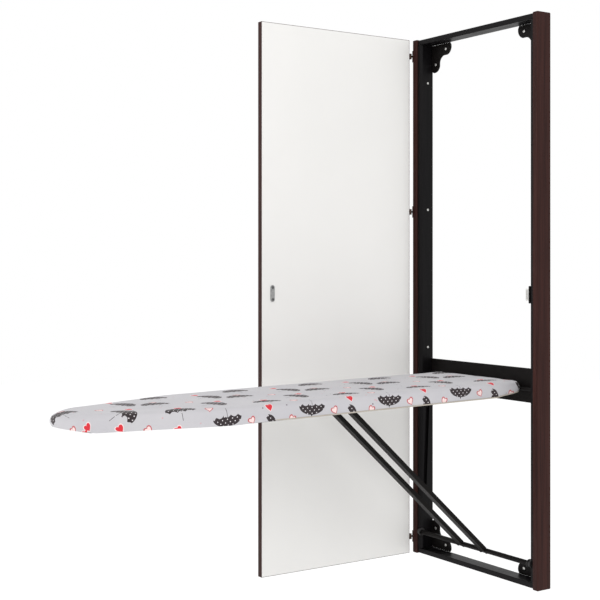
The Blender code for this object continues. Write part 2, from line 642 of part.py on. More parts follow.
# ---- the board ------------------------------------------------------------------------
def board_outline(inset):
    """The board seen from above, moved in by inset: round nose, taper, shoulders, rear corners."""
    nose_y = NOSE_RADIUS - BOARD_NOSE
    shoulder_x = BOARD_HALF_WIDTH - SHOULDER_RADIUS
    # The straight taper touches both the nose arc and the shoulder arc.
    offset = SHOULDER_RADIUS - NOSE_RADIUS + shoulder_x * cos(NOSE_TAPER)
    shoulder_y = nose_y + offset / sin(NOSE_TAPER)
    rear_y = -BOARD_REAR - REAR_CORNER_RADIUS
    corner_x = BOARD_HALF_WIDTH - REAR_CORNER_RADIUS
    right = arc((0, nose_y), NOSE_RADIUS - inset, -pi / 2, -NOSE_TAPER)
    right += arc((shoulder_x, shoulder_y), SHOULDER_RADIUS - inset, -NOSE_TAPER, 0, FINE_ARC_STEP)
    right += arc((corner_x, rear_y), REAR_CORNER_RADIUS - inset, 0, pi / 2)
    left = [(-x, y) for x, y in reversed(right[1:])]
    return right + left


def board_prism(name, inset, low, high):
    mesh = outline_mesh(name, board_outline(inset), high - low)
    mesh.transform(Matrix.Translation((0, 0, (low + high) / 2)))
    return mesh


def cut_from_board(obj, name, mesh):
    """Cuts a shape that is placed on the level board, and that tilts with it."""
    cutter = add_cutter(name, mesh, Matrix.Translation(-REST_PIVOT), obj.parent)
    combine(obj, cutter, "DIFFERENCE")


def cut_end_tapers(obj, name, lift):
    """Cuts the underside away towards each end, where the skirt and the rim are lower."""
    low = BOARD_UNDERSIDE + lift
    below = low - THROUGH
    for end, tip, way, height, length in (
        ("rear", -BOARD_REAR, 1, BOARD_REAR_HEIGHT, BOARD_REAR_TAPER),
        ("tip", -BOARD_NOSE, -1, BOARD_TIP_HEIGHT, BOARD_TIP_TAPER),
    ):
        high = low + BOARD_HEIGHT - height
        start = tip - way * length
        beyond = tip + way * THROUGH
        points = [(start, low - TAPER_OVERRUN), (tip, high), (beyond, high), (beyond, below), (start, below)]
        mesh = outline_mesh(f"{name}_{end}_taper", points, 3 * BOARD_HALF_WIDTH)
        mesh.transform(UPRIGHT)
        cut_from_board(obj, f"{name}_{end}_taper", mesh)


def cut_bracket_notches(obj, name):
    """Lets the two axle brackets pass out through the rear end."""
    width = AXLE_BRACKET_THICKNESS + 2 * AXLE_BRACKET_NOTCH
    high = PIVOT_HEIGHT + AXLE_BRACKET_HALF_HEIGHT + GAP
    low = BOARD_UNDERSIDE - THROUGH
    for side, side_name in ((-1, "left"), (1, "right")):
        size = (width, NOTCH_DEPTH, high - low)
        centre = (side * AXLE_BRACKET_X, -BOARD_REAR, (low + high) / 2)
        cut_from_board(obj, f"{name}_{side_name}_notch", box_mesh("notch", size, centre))


def add_board():
    pivot = add_pivot("board_axis", REST_PIVOT, FRAME_BOTTOM)
    pivot.rotation_euler = (BOARD_DROOP, 0, 0)
    back = -REST_PIVOT

    def on_board(name, mesh, material):
        return add_object(name, mesh, material, back, parent=pivot)

    cover = on_board("cover_pad", board_prism("cover_pad", 0, BOARD_UNDERSIDE, BOARD_TOP), "fabric")
    pocket = board_prism("cover_pocket", SKIRT_THICKNESS, BOARD_UNDERSIDE - THROUGH, DECK_TOP + GAP)
    cut_from_board(cover, "cover_pocket", pocket)
    cut_end_tapers(cover, "cover", 0)
    cut_bracket_notches(cover, "cover")

    deck = board_prism("board_deck", RIM_OUTSET, DECK_UNDERSIDE, DECK_TOP)
    on_board("board_deck", deck, "black_steel")

    rim_low = BOARD_UNDERSIDE + RIM_ABOVE_HEM
    rim_mesh = board_prism("board_rim", RIM_OUTSET, rim_low, DECK_UNDERSIDE - GAP)
    rim = on_board("board_rim", rim_mesh, "black_steel")
    inside = board_prism("rim_inside", RIM_OUTSET + RIM_THICKNESS, rim_low - THROUGH, DECK_TOP)
    cut_from_board(rim, "rim_inside", inside)
    cut_end_tapers(rim, "rim", RIM_ABOVE_HEM)
    cut_bracket_notches(rim, "rim")

    for side, name in ((-1, "left"), (1, "right")):
        add_axle_bracket(side, name, on_board)
        add_leg_bracket(side, name, on_board)
        length = PIN_OUTER_X - PIN_INNER_X
        mesh = cylinder_mesh(name + "_guide_pin", PIN_RADIUS, length, "X")
        centre = (side * (PIN_INNER_X + PIN_OUTER_X) / 2, 0, 0)
        add_object(name + "_guide_pin", mesh, "zinc", centre, parent=pivot)
    rod_length = 2 * (LEG_BRACKET_X + LEG_BRACKET_THICKNESS)
    rod = cylinder_mesh("leg_pivot_rod", PIN_RADIUS, rod_length, "X")
    add_object("leg_pivot_rod", rod, "zinc", PIN_TO_LEG_PIVOT, parent=pivot)


def add_axle_bracket(side, name, on_board):
    """A flat bar under the deck that carries the rear pin beyond the board's rear edge."""
    half = AXLE_BRACKET_HALF_HEIGHT
    front = -BOARD_REAR - AXLE_BRACKET_LENGTH
    points = [(front, DECK_UNDERSIDE - GAP), (front, PIVOT_HEIGHT - half)]
    points += arc((-PIVOT_FROM_WALL, PIVOT_HEIGHT), half, -pi / 2, pi / 2, SMALL_ARC_STEP)
    points += [(-BOARD_REAR - AXLE_BRACKET_NECK[0], PIVOT_HEIGHT + half)]
    points += [(-BOARD_REAR - AXLE_BRACKET_NECK[1], DECK_UNDERSIDE - GAP)]
    mesh = outline_mesh(name + "_axle_bracket", points, AXLE_BRACKET_THICKNESS)
    mesh.transform(Matrix.Translation((side * AXLE_BRACKET_X, 0, 0)) @ UPRIGHT)
    bracket = on_board(name + "_axle_bracket", mesh, "black_steel")
    bore = pin_bore_mesh(AXLE_BRACKET_THICKNESS)
    bore.transform(Matrix.Translation((side * AXLE_BRACKET_X, -PIVOT_FROM_WALL, PIVOT_HEIGHT)))
    cut_from_board(bracket, name + "_axle_bore", bore)


def add_leg_bracket(side, name, on_board):
    """A lug under the deck that holds one end of the legs' pivot rod."""
    half = LEG_BRACKET_LENGTH / 2
    top = DECK_UNDERSIDE - GAP
    points = [(-LEG_PIVOT_FROM_WALL - half, top)]
    eye = (LEG_PIVOT_LEVEL.y, LEG_PIVOT_LEVEL.z)
    points += arc(eye, LEG_BRACKET_EYE, radians(215), radians(325), SMALL_ARC_STEP)
    points += [(-LEG_PIVOT_FROM_WALL + half, top)]
    mesh = outline_mesh(name + "_leg_bracket", points, LEG_BRACKET_THICKNESS)
    mesh.transform(Matrix.Translation((side * LEG_BRACKET_X, 0, 0)) @ UPRIGHT)
    bracket = on_board(name + "_leg_bracket", mesh, "black_steel")
    bore = pin_bore_mesh(LEG_BRACKET_THICKNESS)
    bore.transform(Matrix.Translation(LEG_PIVOT_LEVEL + Vector((side * LEG_BRACKET_X, 0, 0))))
    cut_from_board(bracket, name + "_lug_bore", bore)


# ---- the legs -------------------------------------------------------------------------
def add_legs():
    """Two rectangular tubes from the pivot rod to the crossbar, along their own -Y to +Y."""
    pivot = add_pivot("leg_axis", LEG_PIVOT, FRAME_BOTTOM)
    length = LEG_VECTOR.length - CROSSBAR_RADIUS - GAP
    inner = (LEG_WIDTH - 2 * LEG_WALL, length, LEG_THICKNESS - 2 * LEG_WALL)
    slope = (LEG_SLOPE, 0, 0)
    turned = Matrix.Rotation(LEG_SLOPE, 4, "X")
    for side, name in ((-1, "left"), (1, "right")):
        place = Vector((side * LEG_X, 0, 0))
        shift = Matrix.Translation(place) @ turned
        mesh = box_mesh(name + "_leg", (LEG_WIDTH, length, LEG_THICKNESS), (0, length / 2, 0))
        leg = add_object(name + "_leg", mesh, "black_steel", place, slope, pivot)
        hollow = box_mesh("tube_inside", inner, (0, length / 2 + LEG_SOLID_END, 0))
        combine(leg, add_cutter(name + "_tube_inside", hollow, shift, pivot), "DIFFERENCE")
        eye = cylinder_mesh("leg_eye", LEG_EYE_RADIUS, LEG_WIDTH, "X")
        combine(leg, add_cutter(name + "_leg_eye", eye, Matrix.Translation(place), pivot), "UNION")
        bore = add_cutter(name + "_leg_bore", pin_bore_mesh(LEG_WIDTH), Matrix.Translation(place), pivot)
        combine(leg, bore, "DIFFERENCE")
    end_x = INNER_X - GAP - BUSH_FLANGE - CROSSBAR_END_CLEARANCE
    bar = cylinder_mesh("leg_crossbar", CROSSBAR_RADIUS, 2 * end_x, "X")
    add_object("leg_crossbar", bar, "black_steel", LEG_VECTOR, parent=pivot)


def build():
    add_stiles()
    add_guide_boards()
    add_guide_screws()
    add_rails()
    add_wall_rail()
    add_gussets()
    add_crossbar_bushes()
    add_catch()
    for number, height in enumerate(HINGE_HEIGHTS, 1):
        add_hinge(number, height)
    add_door()
    add_shoes()
    add_board()
    add_legs()


build()
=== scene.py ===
from math import cos, pi, radians, sin, tau

import bmesh
import bpy
import numpy as np
from mathutils import Matrix, Vector, noise


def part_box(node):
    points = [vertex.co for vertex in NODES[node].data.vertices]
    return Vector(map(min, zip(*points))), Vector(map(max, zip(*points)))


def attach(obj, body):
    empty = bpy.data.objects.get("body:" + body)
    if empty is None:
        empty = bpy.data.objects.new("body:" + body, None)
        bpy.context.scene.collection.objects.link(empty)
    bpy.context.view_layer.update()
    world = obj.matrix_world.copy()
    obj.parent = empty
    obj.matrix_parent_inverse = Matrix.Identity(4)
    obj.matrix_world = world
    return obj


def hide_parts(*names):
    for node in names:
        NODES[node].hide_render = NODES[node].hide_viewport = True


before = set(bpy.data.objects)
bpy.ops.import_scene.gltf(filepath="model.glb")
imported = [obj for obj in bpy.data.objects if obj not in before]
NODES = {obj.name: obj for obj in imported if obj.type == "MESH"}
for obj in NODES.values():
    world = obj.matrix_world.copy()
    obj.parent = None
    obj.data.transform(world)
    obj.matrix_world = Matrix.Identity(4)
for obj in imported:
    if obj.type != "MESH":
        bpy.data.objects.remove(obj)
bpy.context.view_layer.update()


def box_of(node):
    """(low, high, centre, size) of a CAD node."""
    low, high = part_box(node)
    return low, high, (low + high) / 2, high - low


# ---- shader helpers -------------------------------------------------------------------
class Field:
    """A number that changes over a surface: the output of a shader node, with arithmetic."""

    def __init__(self, tree, socket):
        self.tree = tree
        self.socket = socket

    def math(self, operation, *others, clamp=False):
        node = self.tree.nodes.new("ShaderNodeMath")
        node.operation = operation
        node.use_clamp = clamp
        for slot, value in enumerate((self, *others)):
            if isinstance(value, Field):
                self.tree.links.new(value.socket, node.inputs[slot])
            else:
                node.inputs[slot].default_value = value
        return Field(self.tree, node.outputs[0])

    def __add__(self, other):
        return self.math("ADD", other)

    def __sub__(self, other):
        return self.math("SUBTRACT", other)

    def __mul__(self, other):
        return self.math("MULTIPLY", other)

    def __truediv__(self, other):
        return self.math("DIVIDE", other)

    def above(self, limit):
        return self.math("GREATER_THAN", limit)

    def below(self, limit):
        return self.math("LESS_THAN", limit)

    def larger(self, other):
        return self.math("MAXIMUM", other)

    def squared(self):
        return self * self

    def absolute(self):
        return self.math("ABSOLUTE")

    def ramp(self, low, high):
        """0 at low and 1 at high, held between them."""
        return ((self - low) / (high - low)).math("ADD", 0.0, clamp=True)

    def wrapped(self, period):
        """The distance to the nearest whole number of periods."""
        return self - (self / period).math("ROUND") * period


class Finish:
    """A Principled material under construction."""

    def __init__(self, name, roughness=0.5, metallic=0.0, specular=0.5):
        self.material = bpy.data.materials.new(name)
        self.material.use_nodes = True
        self.tree = self.material.node_tree
        self.shader = self.tree.nodes["Principled BSDF"]
        self.shader.inputs["Roughness"].default_value = roughness
        self.shader.inputs["Metallic"].default_value = metallic
        self.shader.inputs["Specular IOR Level"].default_value = specular

    def put(self, value, socket):
        """Links a field or another node's output to a socket, or sets a plain value."""
        if isinstance(value, Field):
            value = value.socket
        if isinstance(value, bpy.types.NodeSocket):
            self.tree.links.new(value, socket)
        else:
            socket.default_value = value

    def node(self, kind, **inputs):
        made = self.tree.nodes.new(kind)
        for name, value in inputs.items():
            self.put(value, made.inputs[name.replace("_", " ")])
        return made

    def place(self):
        return self.node("ShaderNodeTexCoord").outputs["Object"]

    def stretched(self, scale, vector=None):
        """The object's own coordinates, in metres, times a scale along each axis."""
        mapping = self.node("ShaderNodeMapping", Vector=vector or self.place())
        mapping.inputs["Scale"].default_value = scale
        return mapping.outputs[0]

    def noise(self, scale=1.0, detail=4.0, roughness=0.55, vector=None, distortion=0.0):
        made = self.node(
            "ShaderNodeTexNoise",
            Vector=vector or self.place(),
            Scale=scale,
            Detail=detail,
            Roughness=roughness,
            Distortion=distortion,
        )
        return Field(self.tree, made.outputs["Fac"])

    def split(self, vector):
        made = self.node("ShaderNodeSeparateXYZ", Vector=vector)
        return [Field(self.tree, made.outputs[axis]) for axis in "XYZ"]

    def blend(self, amount, low, high):
        """A colour from low to high as amount goes from 0 to 1."""
        mix = self.tree.nodes.new("ShaderNodeMix")
        mix.data_type = "RGBA"
        for slot, value in ((0, amount), (6, low), (7, high)):
            self.put((*value, 1.0) if isinstance(value, tuple) else value, mix.inputs[slot])
        return mix.outputs[2]

    def edges(self, radius):
        """1 along the object's sharp edges, and 0 away from them."""
        bevel = self.node("ShaderNodeBevel", Radius=radius)
        bevel.samples = 4
        geometry = self.node("ShaderNodeNewGeometry")
        dot = self.tree.nodes.new("ShaderNodeVectorMath")
        dot.operation = "DOT_PRODUCT"
        self.tree.links.new(bevel.outputs[0], dot.inputs[0])
        self.tree.links.new(geometry.outputs["Normal"], dot.inputs[1])
        return Field(self.tree, dot.outputs["Value"]).ramp(0.99, 0.85)

    def colour(self, socket):
        self.tree.links.new(socket, self.shader.inputs["Base Color"])

    def roughness(self, field):
        self.tree.links.new(field.socket, self.shader.inputs["Roughness"])

    def bump(self, height, strength, distance=0.001):
        made = self.node("ShaderNodeBump", Height=height, Strength=strength, Distance=distance)
        self.tree.links.new(made.outputs[0], self.shader.inputs["Normal"])


# ---- the materials --------------------------------------------------------------------
def wood_finish(name, dark, light, axis="Z"):
    """Open-pored veneer with fine straight grain along one axis."""
    finish = Finish(name, specular=0.10)
    along = {"X": (7.0, 640.0, 640.0), "Z": (640.0, 640.0, 7.0)}[axis]
    broad = {"X": (2.5, 90.0, 90.0), "Z": (90.0, 90.0, 2.5)}[axis]
    grain = finish.noise(1.0, 5.0, 0.62, finish.stretched(along), 0.15)
    bands = finish.noise(1.0, 3.0, 0.5, finish.stretched(broad), 0.6)
    pores = finish.noise(2.2, 2.0, 0.5, finish.stretched(along)).ramp(0.36, 0.30)
    tone = grain.ramp(0.34, 0.66) * 0.6 + bands.ramp(0.3, 0.7) * 0.4
    body = finish.blend(tone, dark, light)
    wear = finish.edges(0.0012) * finish.noise(60.0, 3.0).ramp(0.35, 0.6)
    worn = tuple(min(1.0, c * 2.2 + 0.01) for c in light)
    finish.colour(finish.blend(wear * 0.55, body, worn))
    finish.roughness(finish.noise(14.0, 3.0) * 0.16 + pores * 0.18 + 0.34)
    finish.bump(grain - pores * 0.7, 0.28, 0.0004)
    return finish.material


def steel_finish(name, colour, worn, roughness):
    """Powder-coated or painted steel: a fine orange peel, paler where the edges rub."""
    finish = Finish(name, specular=0.10)
    peel = finish.noise(2600.0, 2.0, 0.5)
    cloud = finish.noise(9.0, 4.0)
    darker = tuple(c * 0.75 for c in colour)
    body = finish.blend(cloud.ramp(0.3, 0.7), darker, colour)
    rub = finish.edges(0.0007) * finish.noise(45.0, 5.0).ramp(0.48, 0.62)
    finish.colour(finish.blend(rub * 0.6, body, worn))
    finish.roughness(cloud * 0.14 + (roughness - 0.07))
    finish.bump(peel, 0.12, 0.0002)
    return finish.material


def metal_finish(name, colour, tarnish, roughness, metallic=1.0):
    """Plated metal with fine turning marks and random clouds of darker tarnish."""
    finish = Finish(name, metallic=metallic)
    cloud = finish.noise(160.0, 4.0)
    scratches = finish.noise(1.0, 3.0, 0.6, finish.stretched((3000.0, 3000.0, 500.0)))
    finish.colour(finish.blend(cloud.ramp(0.35, 0.75), colour, tarnish))
    finish.roughness(scratches * 0.18 + (roughness - 0.09))
    finish.bump(scratches, 0.08, 0.0001)
    return finish.material


def panel_finish(name, colour):
    """White melamine with a faint pearl texture, slightly greyer in soft clouds."""
    finish = Finish(name, specular=0.4)
    pearl = finish.noise(900.0, 3.0, 0.6)
    cloud = finish.noise(3.0, 4.0)
    greyer = tuple(c * 0.965 for c in colour)
    finish.colour(finish.blend(cloud.ramp(0.35, 0.75), colour, greyer))
    finish.roughness(pearl * 0.10 + 0.33)
    finish.bump(pearl, 0.10, 0.00015)
    return finish.material


def plastic_finish(name, colour, roughness):
    """Moulded nylon with a fine satin grain."""
    finish = Finish(name, specular=0.5)
    grain = finish.noise(1500.0, 2.0)
    cloud = finish.noise(40.0, 4.0)
    darker = tuple(c * 0.88 for c in colour)
    finish.colour(finish.blend(cloud.ramp(0.35, 0.7), colour, darker))
    finish.roughness(cloud * 0.12 + (roughness - 0.06))
    finish.bump(grain, 0.06, 0.0001)
    return finish.material


# The print repeats along the board. Each motif is (along, across, turn in degrees), with
# across measured from the board's middle line, over its edge and down its side. An umbrella
# also has how many times taller than the plainest one it is.
PRINT_REPEAT = 0.2066
PRINT_START = 0.414
UMBRELLAS = (
    (0.000, 0.1545, -4, 1.0),
    (0.111, 0.1940, 88, 1.1),
    (-0.008, 0.0670, 109, 1.5),
    (-0.057, -0.0400, 109, 1.5),
    (0.086, 0.1070, 171, 1.1),
    (0.044, -0.0930, 178, 1.5),
    (0.0865, -0.0020, 178, 1.5),
    (-0.020, -0.1780, 178, 1.0),
)
SOLID_HEARTS = (
    (0.105, 0.1470, 10),
    (-0.041, 0.0360, 25),
    (0.080, 0.0830, -15),
    (-0.053, -0.0860, 20),
    (0.060, -0.1650, 25),
)
OUTLINED_HEARTS = (
    (-0.0585, 0.1715, 28),
    (0.0510, 0.1800, -24),
    (0.012, 0.0100, 10),
    (0.030, 0.1240, -20),
    (0.078, -0.0300, 15),
    (-0.070, -0.1840, 200),
)
# Round the nose, hearts that come only once: their places along are from the wall.
NOSE_SOLID_HEARTS = ((1.101, 0.0740, 15), (1.040, 0.1015, 20))
NOSE_OUTLINED_HEARTS = ((1.135, 0.0580, -15), (0.988, 0.1250, 25))
UMBRELLA_HALF_WIDTH = 0.0325
UMBRELLA_HEIGHT = 0.0205
SCALLOP_WIDTH = 0.0162
SCALLOP_DEPTH = 0.0042
FERRULE_LENGTH = 0.0045
HANDLE_LENGTH = 0.021
HEART_HALF_WIDTH = 0.0077
DOT_PITCH = 0.0115
DOT_ROW = 0.0066
DOT_RADIUS = 0.00125
PRINT_SKEW = 0.013
THREAD_PITCH = 0.0008


def local_axes(along, across, motif, repeated=True):
    """Coordinates of one motif, from its centre and turned with it."""
    offset, middle, turn = motif
    u = (along - (PRINT_START + offset)).wrapped(PRINT_REPEAT) if repeated else along - offset
    v = across - middle
    c, s = cos(radians(turn)), sin(radians(turn))
    return u * c + v * s, v * c - u * s


def umbrella_mask(along, across, motif):
    """An open umbrella: a low dome with a scalloped hem, a ferrule on top and a thin handle."""
    offset, middle, turn, tallness = motif
    u, v = local_axes(along, across, (offset, middle, turn))
    v = v / tallness
    dome = (u / UMBRELLA_HALF_WIDTH).squared() + (v / UMBRELLA_HEIGHT).squared()
    arch = (u * (pi / SCALLOP_WIDTH)).math("COSINE").absolute() * SCALLOP_DEPTH
    canopy = dome.below(1.0) * (v - arch).above(-SCALLOP_DEPTH)
    tip = UMBRELLA_HEIGHT + FERRULE_LENGTH
    ferrule = ((v * -1.0 + tip) * 0.45 - u.absolute()).above(0.0) * v.above(UMBRELLA_HEIGHT * 0.8)
    ferrule = ferrule * v.below(tip)
    stick = u.absolute().below(0.0005) * v.below(0.0) * v.above(-HANDLE_LENGTH)
    return canopy.larger(ferrule).larger(stick)


def heart_value(along, across, motif, repeated=True):
    """Under 0 inside a heart, 0 on its outline."""
    u, v = local_axes(along, across, motif, repeated)
    x = u.absolute() / HEART_HALF_WIDTH
    y = v / HEART_HALF_WIDTH
    lobe = y * -1.1 - x.math("SQRT") * 0.9
    return x.squared() + (lobe + 0.25).squared() - 1.0


def any_of(masks):
    """1 where any of the masks is 1."""
    total = masks[0]
    for mask in masks[1:]:
        total = total.larger(mask)
    return total


def fabric_finish():
    """Printed cotton: dotted umbrellas, hearts and specks on a pale grey-lavender weave."""
    finish = Finish("printed_cotton_cloth", roughness=0.85, specular=0.2)
    finish.shader.inputs["Sheen Weight"].default_value = 0.15
    finish.shader.inputs["Sheen Roughness"].default_value = 0.5
    attribute = finish.tree.nodes.new("ShaderNodeAttribute")
    attribute.attribute_name = "print_place"
    along, across, _ = finish.split(attribute.outputs["Vector"])
    across = across - along * PRINT_SKEW + PRINT_START * PRINT_SKEW

    umbrellas = any_of([umbrella_mask(along, across, motif) for motif in UMBRELLAS])
    row = (across / DOT_ROW).math("ROUND")
    shift = (row * 0.5).math("FRACT") * DOT_PITCH
    dot_u = (along + shift).wrapped(DOT_PITCH)
    dot_v = across.wrapped(DOT_ROW)
    dots = (dot_u.squared() + dot_v.squared()).below(DOT_RADIUS * DOT_RADIUS)

    solid = [heart_value(along, across, motif) for motif in SOLID_HEARTS]
    solid += [heart_value(along, across, motif, False) for motif in NOSE_SOLID_HEARTS]
    lined = [heart_value(along, across, motif) for motif in OUTLINED_HEARTS]
    lined += [heart_value(along, across, motif, False) for motif in NOSE_OUTLINED_HEARTS]
    halo = any_of([value.below(0.55) for value in solid])
    hearts = any_of([value.below(0.0) for value in solid])
    rings = any_of([value.below(0.35) for value in lined])
    insides = any_of([value.below(-0.30) for value in lined])

    specks = finish.node("ShaderNodeTexVoronoi", Vector=attribute.outputs["Vector"], Scale=46.0)
    speck = Field(finish.tree, specks.outputs["Distance"]).below(0.085)
    tint = finish.split(specks.outputs["Color"])[0]

    cloud = finish.noise(7.0, 4.0, vector=attribute.outputs["Vector"]).ramp(0.3, 0.7)
    ground = finish.blend(cloud, (0.500, 0.492, 0.520), (0.560, 0.548, 0.566))
    ground = finish.blend(speck * tint.below(0.42), ground, (0.15, 0.12, 0.14))
    ground = finish.blend(speck * tint.above(0.62), ground, (0.62, 0.33, 0.36))
    ground = finish.blend(halo, ground, (0.80, 0.66, 0.66))
    ground = finish.blend(hearts, ground, (0.66, 0.016, 0.03))
    ground = finish.blend(rings, ground, (0.50, 0.11, 0.12))
    ground = finish.blend(insides, ground, (0.86, 0.68, 0.66))
    ground = finish.blend(umbrellas, ground, (0.020, 0.012, 0.014))
    ground = finish.blend(umbrellas * dots, ground, (0.72, 0.68, 0.70))

    warp = (along * (tau / THREAD_PITCH)).math("SINE")
    weft = (across * (tau / THREAD_PITCH)).math("SINE")
    weave = warp * weft
    thread = finish.blend(weave.ramp(-1.0, 1.0) * 0.10, ground, (0.35, 0.34, 0.36))
    finish.colour(thread)
    finish.roughness(cloud * 0.08 + 0.80)
    thread_way = finish.stretched((90.0, 1400.0, 1.0), attribute.outputs["Vector"])
    slubs = finish.noise(1.0, 4.0, 0.6, thread_way)
    finish.bump(weave * 0.5 + slubs, 0.35, 0.0002)
    return finish.material


def tape_finish():
    """Cream cotton bias tape with a ribbed weave."""
    finish = Finish("cotton_bias_tape", roughness=0.9, specular=0.15)
    ribs = finish.noise(1.0, 3.0, 0.6, finish.stretched((900.0, 900.0, 2600.0)))
    cloud = finish.noise(25.0, 4.0)
    tone = cloud.ramp(0.3, 0.7) * 0.6 + ribs * 0.4
    finish.colour(finish.blend(tone, (0.38, 0.34, 0.29), (0.50, 0.46, 0.41)))
    finish.roughness(ribs * 0.1 + 0.82)
    finish.bump(ribs, 0.4, 0.0003)
    return finish.material


VENT_PITCH = 0.016
VENT_RADIUS = 0.0032


def deck_finish():
    """Black painted deck with rows of vent holes, seen from below."""
    finish = Finish("perforated_black_deck", roughness=0.5, specular=0.4)
    x, y, _ = finish.split(finish.place())
    row = (y / VENT_PITCH).math("ROUND")
    hole_x = (x + (row * 0.5).math("FRACT") * VENT_PITCH).wrapped(VENT_PITCH)
    hole_y = y.wrapped(VENT_PITCH)
    distance = (hole_x.squared() + hole_y.squared()).math("SQRT")
    hole = distance.below(VENT_RADIUS)
    cloud = finish.noise(8.0, 4.0)
    body = finish.blend(cloud, (0.020, 0.018, 0.017), (0.032, 0.029, 0.028))
    finish.colour(finish.blend(hole, body, (0.20, 0.19, 0.19)))
    finish.roughness(cloud * 0.15 + 0.42)
    finish.bump(distance.ramp(0.0030, 0.0040), 0.5, 0.001)
    return finish.material


WENGE_DARK = (0.014, 0.0046, 0.0040)
WENGE_LIGHT = (0.052, 0.0175, 0.0140)
STAIN_DARK = (0.0022, 0.0020, 0.0024)
STAIN_LIGHT = (0.0070, 0.0060, 0.0066)
FINISHES = {
    "wenge": wood_finish("wenge_veneer", WENGE_DARK, WENGE_LIGHT),
    "wenge_across": wood_finish("wenge_veneer_across", WENGE_DARK, WENGE_LIGHT, "X"),
    "black_board": wood_finish("black_stained_board", STAIN_DARK, STAIN_LIGHT),
    "black_rail": wood_finish("black_stained_rail", STAIN_DARK, STAIN_LIGHT, "X"),
    "black_steel": steel_finish("black_powder_coat", (0.0070, 0.0058, 0.0056), (0.060, 0.052, 0.047), 0.45),
    "zinc": metal_finish("zinc_plate", (0.72, 0.72, 0.70), (0.45, 0.44, 0.42), 0.32),
    "bronzed_hinge": metal_finish("bronzed_steel", (0.085, 0.052, 0.040), (0.030, 0.018, 0.014), 0.42, 0.85),
    "white_panel": panel_finish("white_melamine", (0.83, 0.82, 0.80)),
    "grey_screw": metal_finish("grey_steel_screw", (0.15, 0.15, 0.15), (0.08, 0.08, 0.08), 0.45, 0.9),
    "strike_steel": metal_finish("strike_plate_steel", (0.42, 0.42, 0.42), (0.24, 0.24, 0.24), 0.4, 0.9),
    "white_nylon": plastic_finish("white_moulded_nylon", (0.74, 0.73, 0.70), 0.45),
    "black_nylon": plastic_finish("black_moulded_nylon", (0.018, 0.017, 0.017), 0.45),
    "printed_cotton": fabric_finish(),
    "tape": tape_finish(),
    "deck": deck_finish(),
}


# ---- mesh helpers ---------------------------------------------------------------------
SHARP_ANGLE = radians(35)


def add_object(name, data):
    obj = bpy.data.objects.new(name, data)
    bpy.context.scene.collection.objects.link(obj)
    return obj


def link(name, mesh, finish, body):
    """Puts a mesh in the scene, on its body, with its finish; the slot is named after the finish."""
    obj = add_object(name, mesh)
    mesh.materials.append(FINISHES[finish])
    mesh.shade_smooth()
    mesh.set_sharp_from_angle(angle=SHARP_ANGLE)
    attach(obj, body)
    return obj


def mesh_from(name, shape):
    """A mesh from a bmesh, which is freed, with its faces turned outwards."""
    bmesh.ops.recalc_face_normals(shape, faces=shape.faces)
    mesh = bpy.data.meshes.new(name)
    shape.to_mesh(mesh)
    shape.free()
    return mesh


def turned_mesh(name, profile, steps=48):
    """A closed profile of (radius, height) points, first and last on the axis, turned about Z."""
    shape = bmesh.new()
    rings = []
    for radius, height in profile:
        if radius == 0:
            rings.append([shape.verts.new((0, 0, height))])
        else:
            angles = [tau * i / steps for i in range(steps)]
            rings.append([shape.verts.new((radius * cos(a), radius * sin(a), height)) for a in angles])
    for low, high in zip(rings, rings[1:]):
        for i in range(steps):
            j = (i + 1) % steps
            corners = [low[i % len(low)], low[j % len(low)], high[j % len(high)], high[i % len(high)]]
            corners = list(dict.fromkeys(corners))
            if len(corners) > 2:
                shape.faces.new(corners)
    return mesh_from(name, shape)


AXIS_TURN = {"X": Matrix.Rotation(pi / 2, 4, "Y"), "Y": Matrix.Rotation(-pi / 2, 4, "X"), "Z": Matrix()}


def rod_profile(radius, half, edge):
    """A rod with rounded end edges, about the middle of its length."""
    ends = [(radius - edge + edge * sin(a), half - edge + edge * cos(a)) for a in (0, pi / 6, pi / 3, pi / 2)]
    top = [(0, half), *ends]
    bottom = [(r, -h) for r, h in reversed(top)]
    return top + bottom


def rod_in_place(name, node, axis, finish, body, edge=0.0006):
    """A smooth rod that takes the size and the place of a CAD cylinder."""
    _, _, centre, size = box_of(node)
    lengths = {"X": size.x, "Y": size.y, "Z": size.z}
    across = size.z if axis != "Z" else size.x
    mesh = turned_mesh(name, rod_profile(across / 2, lengths[axis] / 2, edge))
    mesh.transform(Matrix.Translation(centre) @ AXIS_TURN[axis])
    rod = link(name, mesh, finish, body)
    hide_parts(node)
    return rod


def rounded_box(name, low, high, edge, segments=3):
    """A box between two corners, with its edges rounded."""
    shape = bmesh.new()
    centre = (Vector(low) + Vector(high)) / 2
    size = Vector(high) - Vector(low)
    bmesh.ops.create_cube(shape, size=1.0, matrix=Matrix.Translation(centre) @ Matrix.Diagonal((*size, 1)))
    bmesh.ops.bevel(
        shape, geom=shape.edges[:], offset=edge, segments=segments, profile=0.5, affect="EDGES"
    )
    return mesh_from(name, shape)


def soften(node, width, segments=2):
    """Welds a CAD node's facets and rounds its sharp edges, without touching its mesh."""
    obj = NODES[node]
    weld = obj.modifiers.new("joined_facets", "WELD")
    weld.merge_threshold = 0.00001
    bevel = obj.modifiers.new("rounded_edges", "BEVEL")
    bevel.width = width
    bevel.segments = segments
    bevel.limit_method = "ANGLE"
    bevel.angle_limit = radians(40)
    bevel.harden_normals = False
    normals = obj.modifiers.new("face_normals", "WEIGHTED_NORMAL")
    normals.keep_sharp = False


def finish_node(node, finish):
    """Gives a CAD node a material from the list."""
    obj = NODES[node]
    obj.data.materials.clear()
    obj.data.materials.append(FINISHES[finish])


def dress(node, finish, width, segments=2):
    """Gives a CAD node its finish, with its edges rounded."""
    finish_node(node, finish)
    soften(node, width, segments)


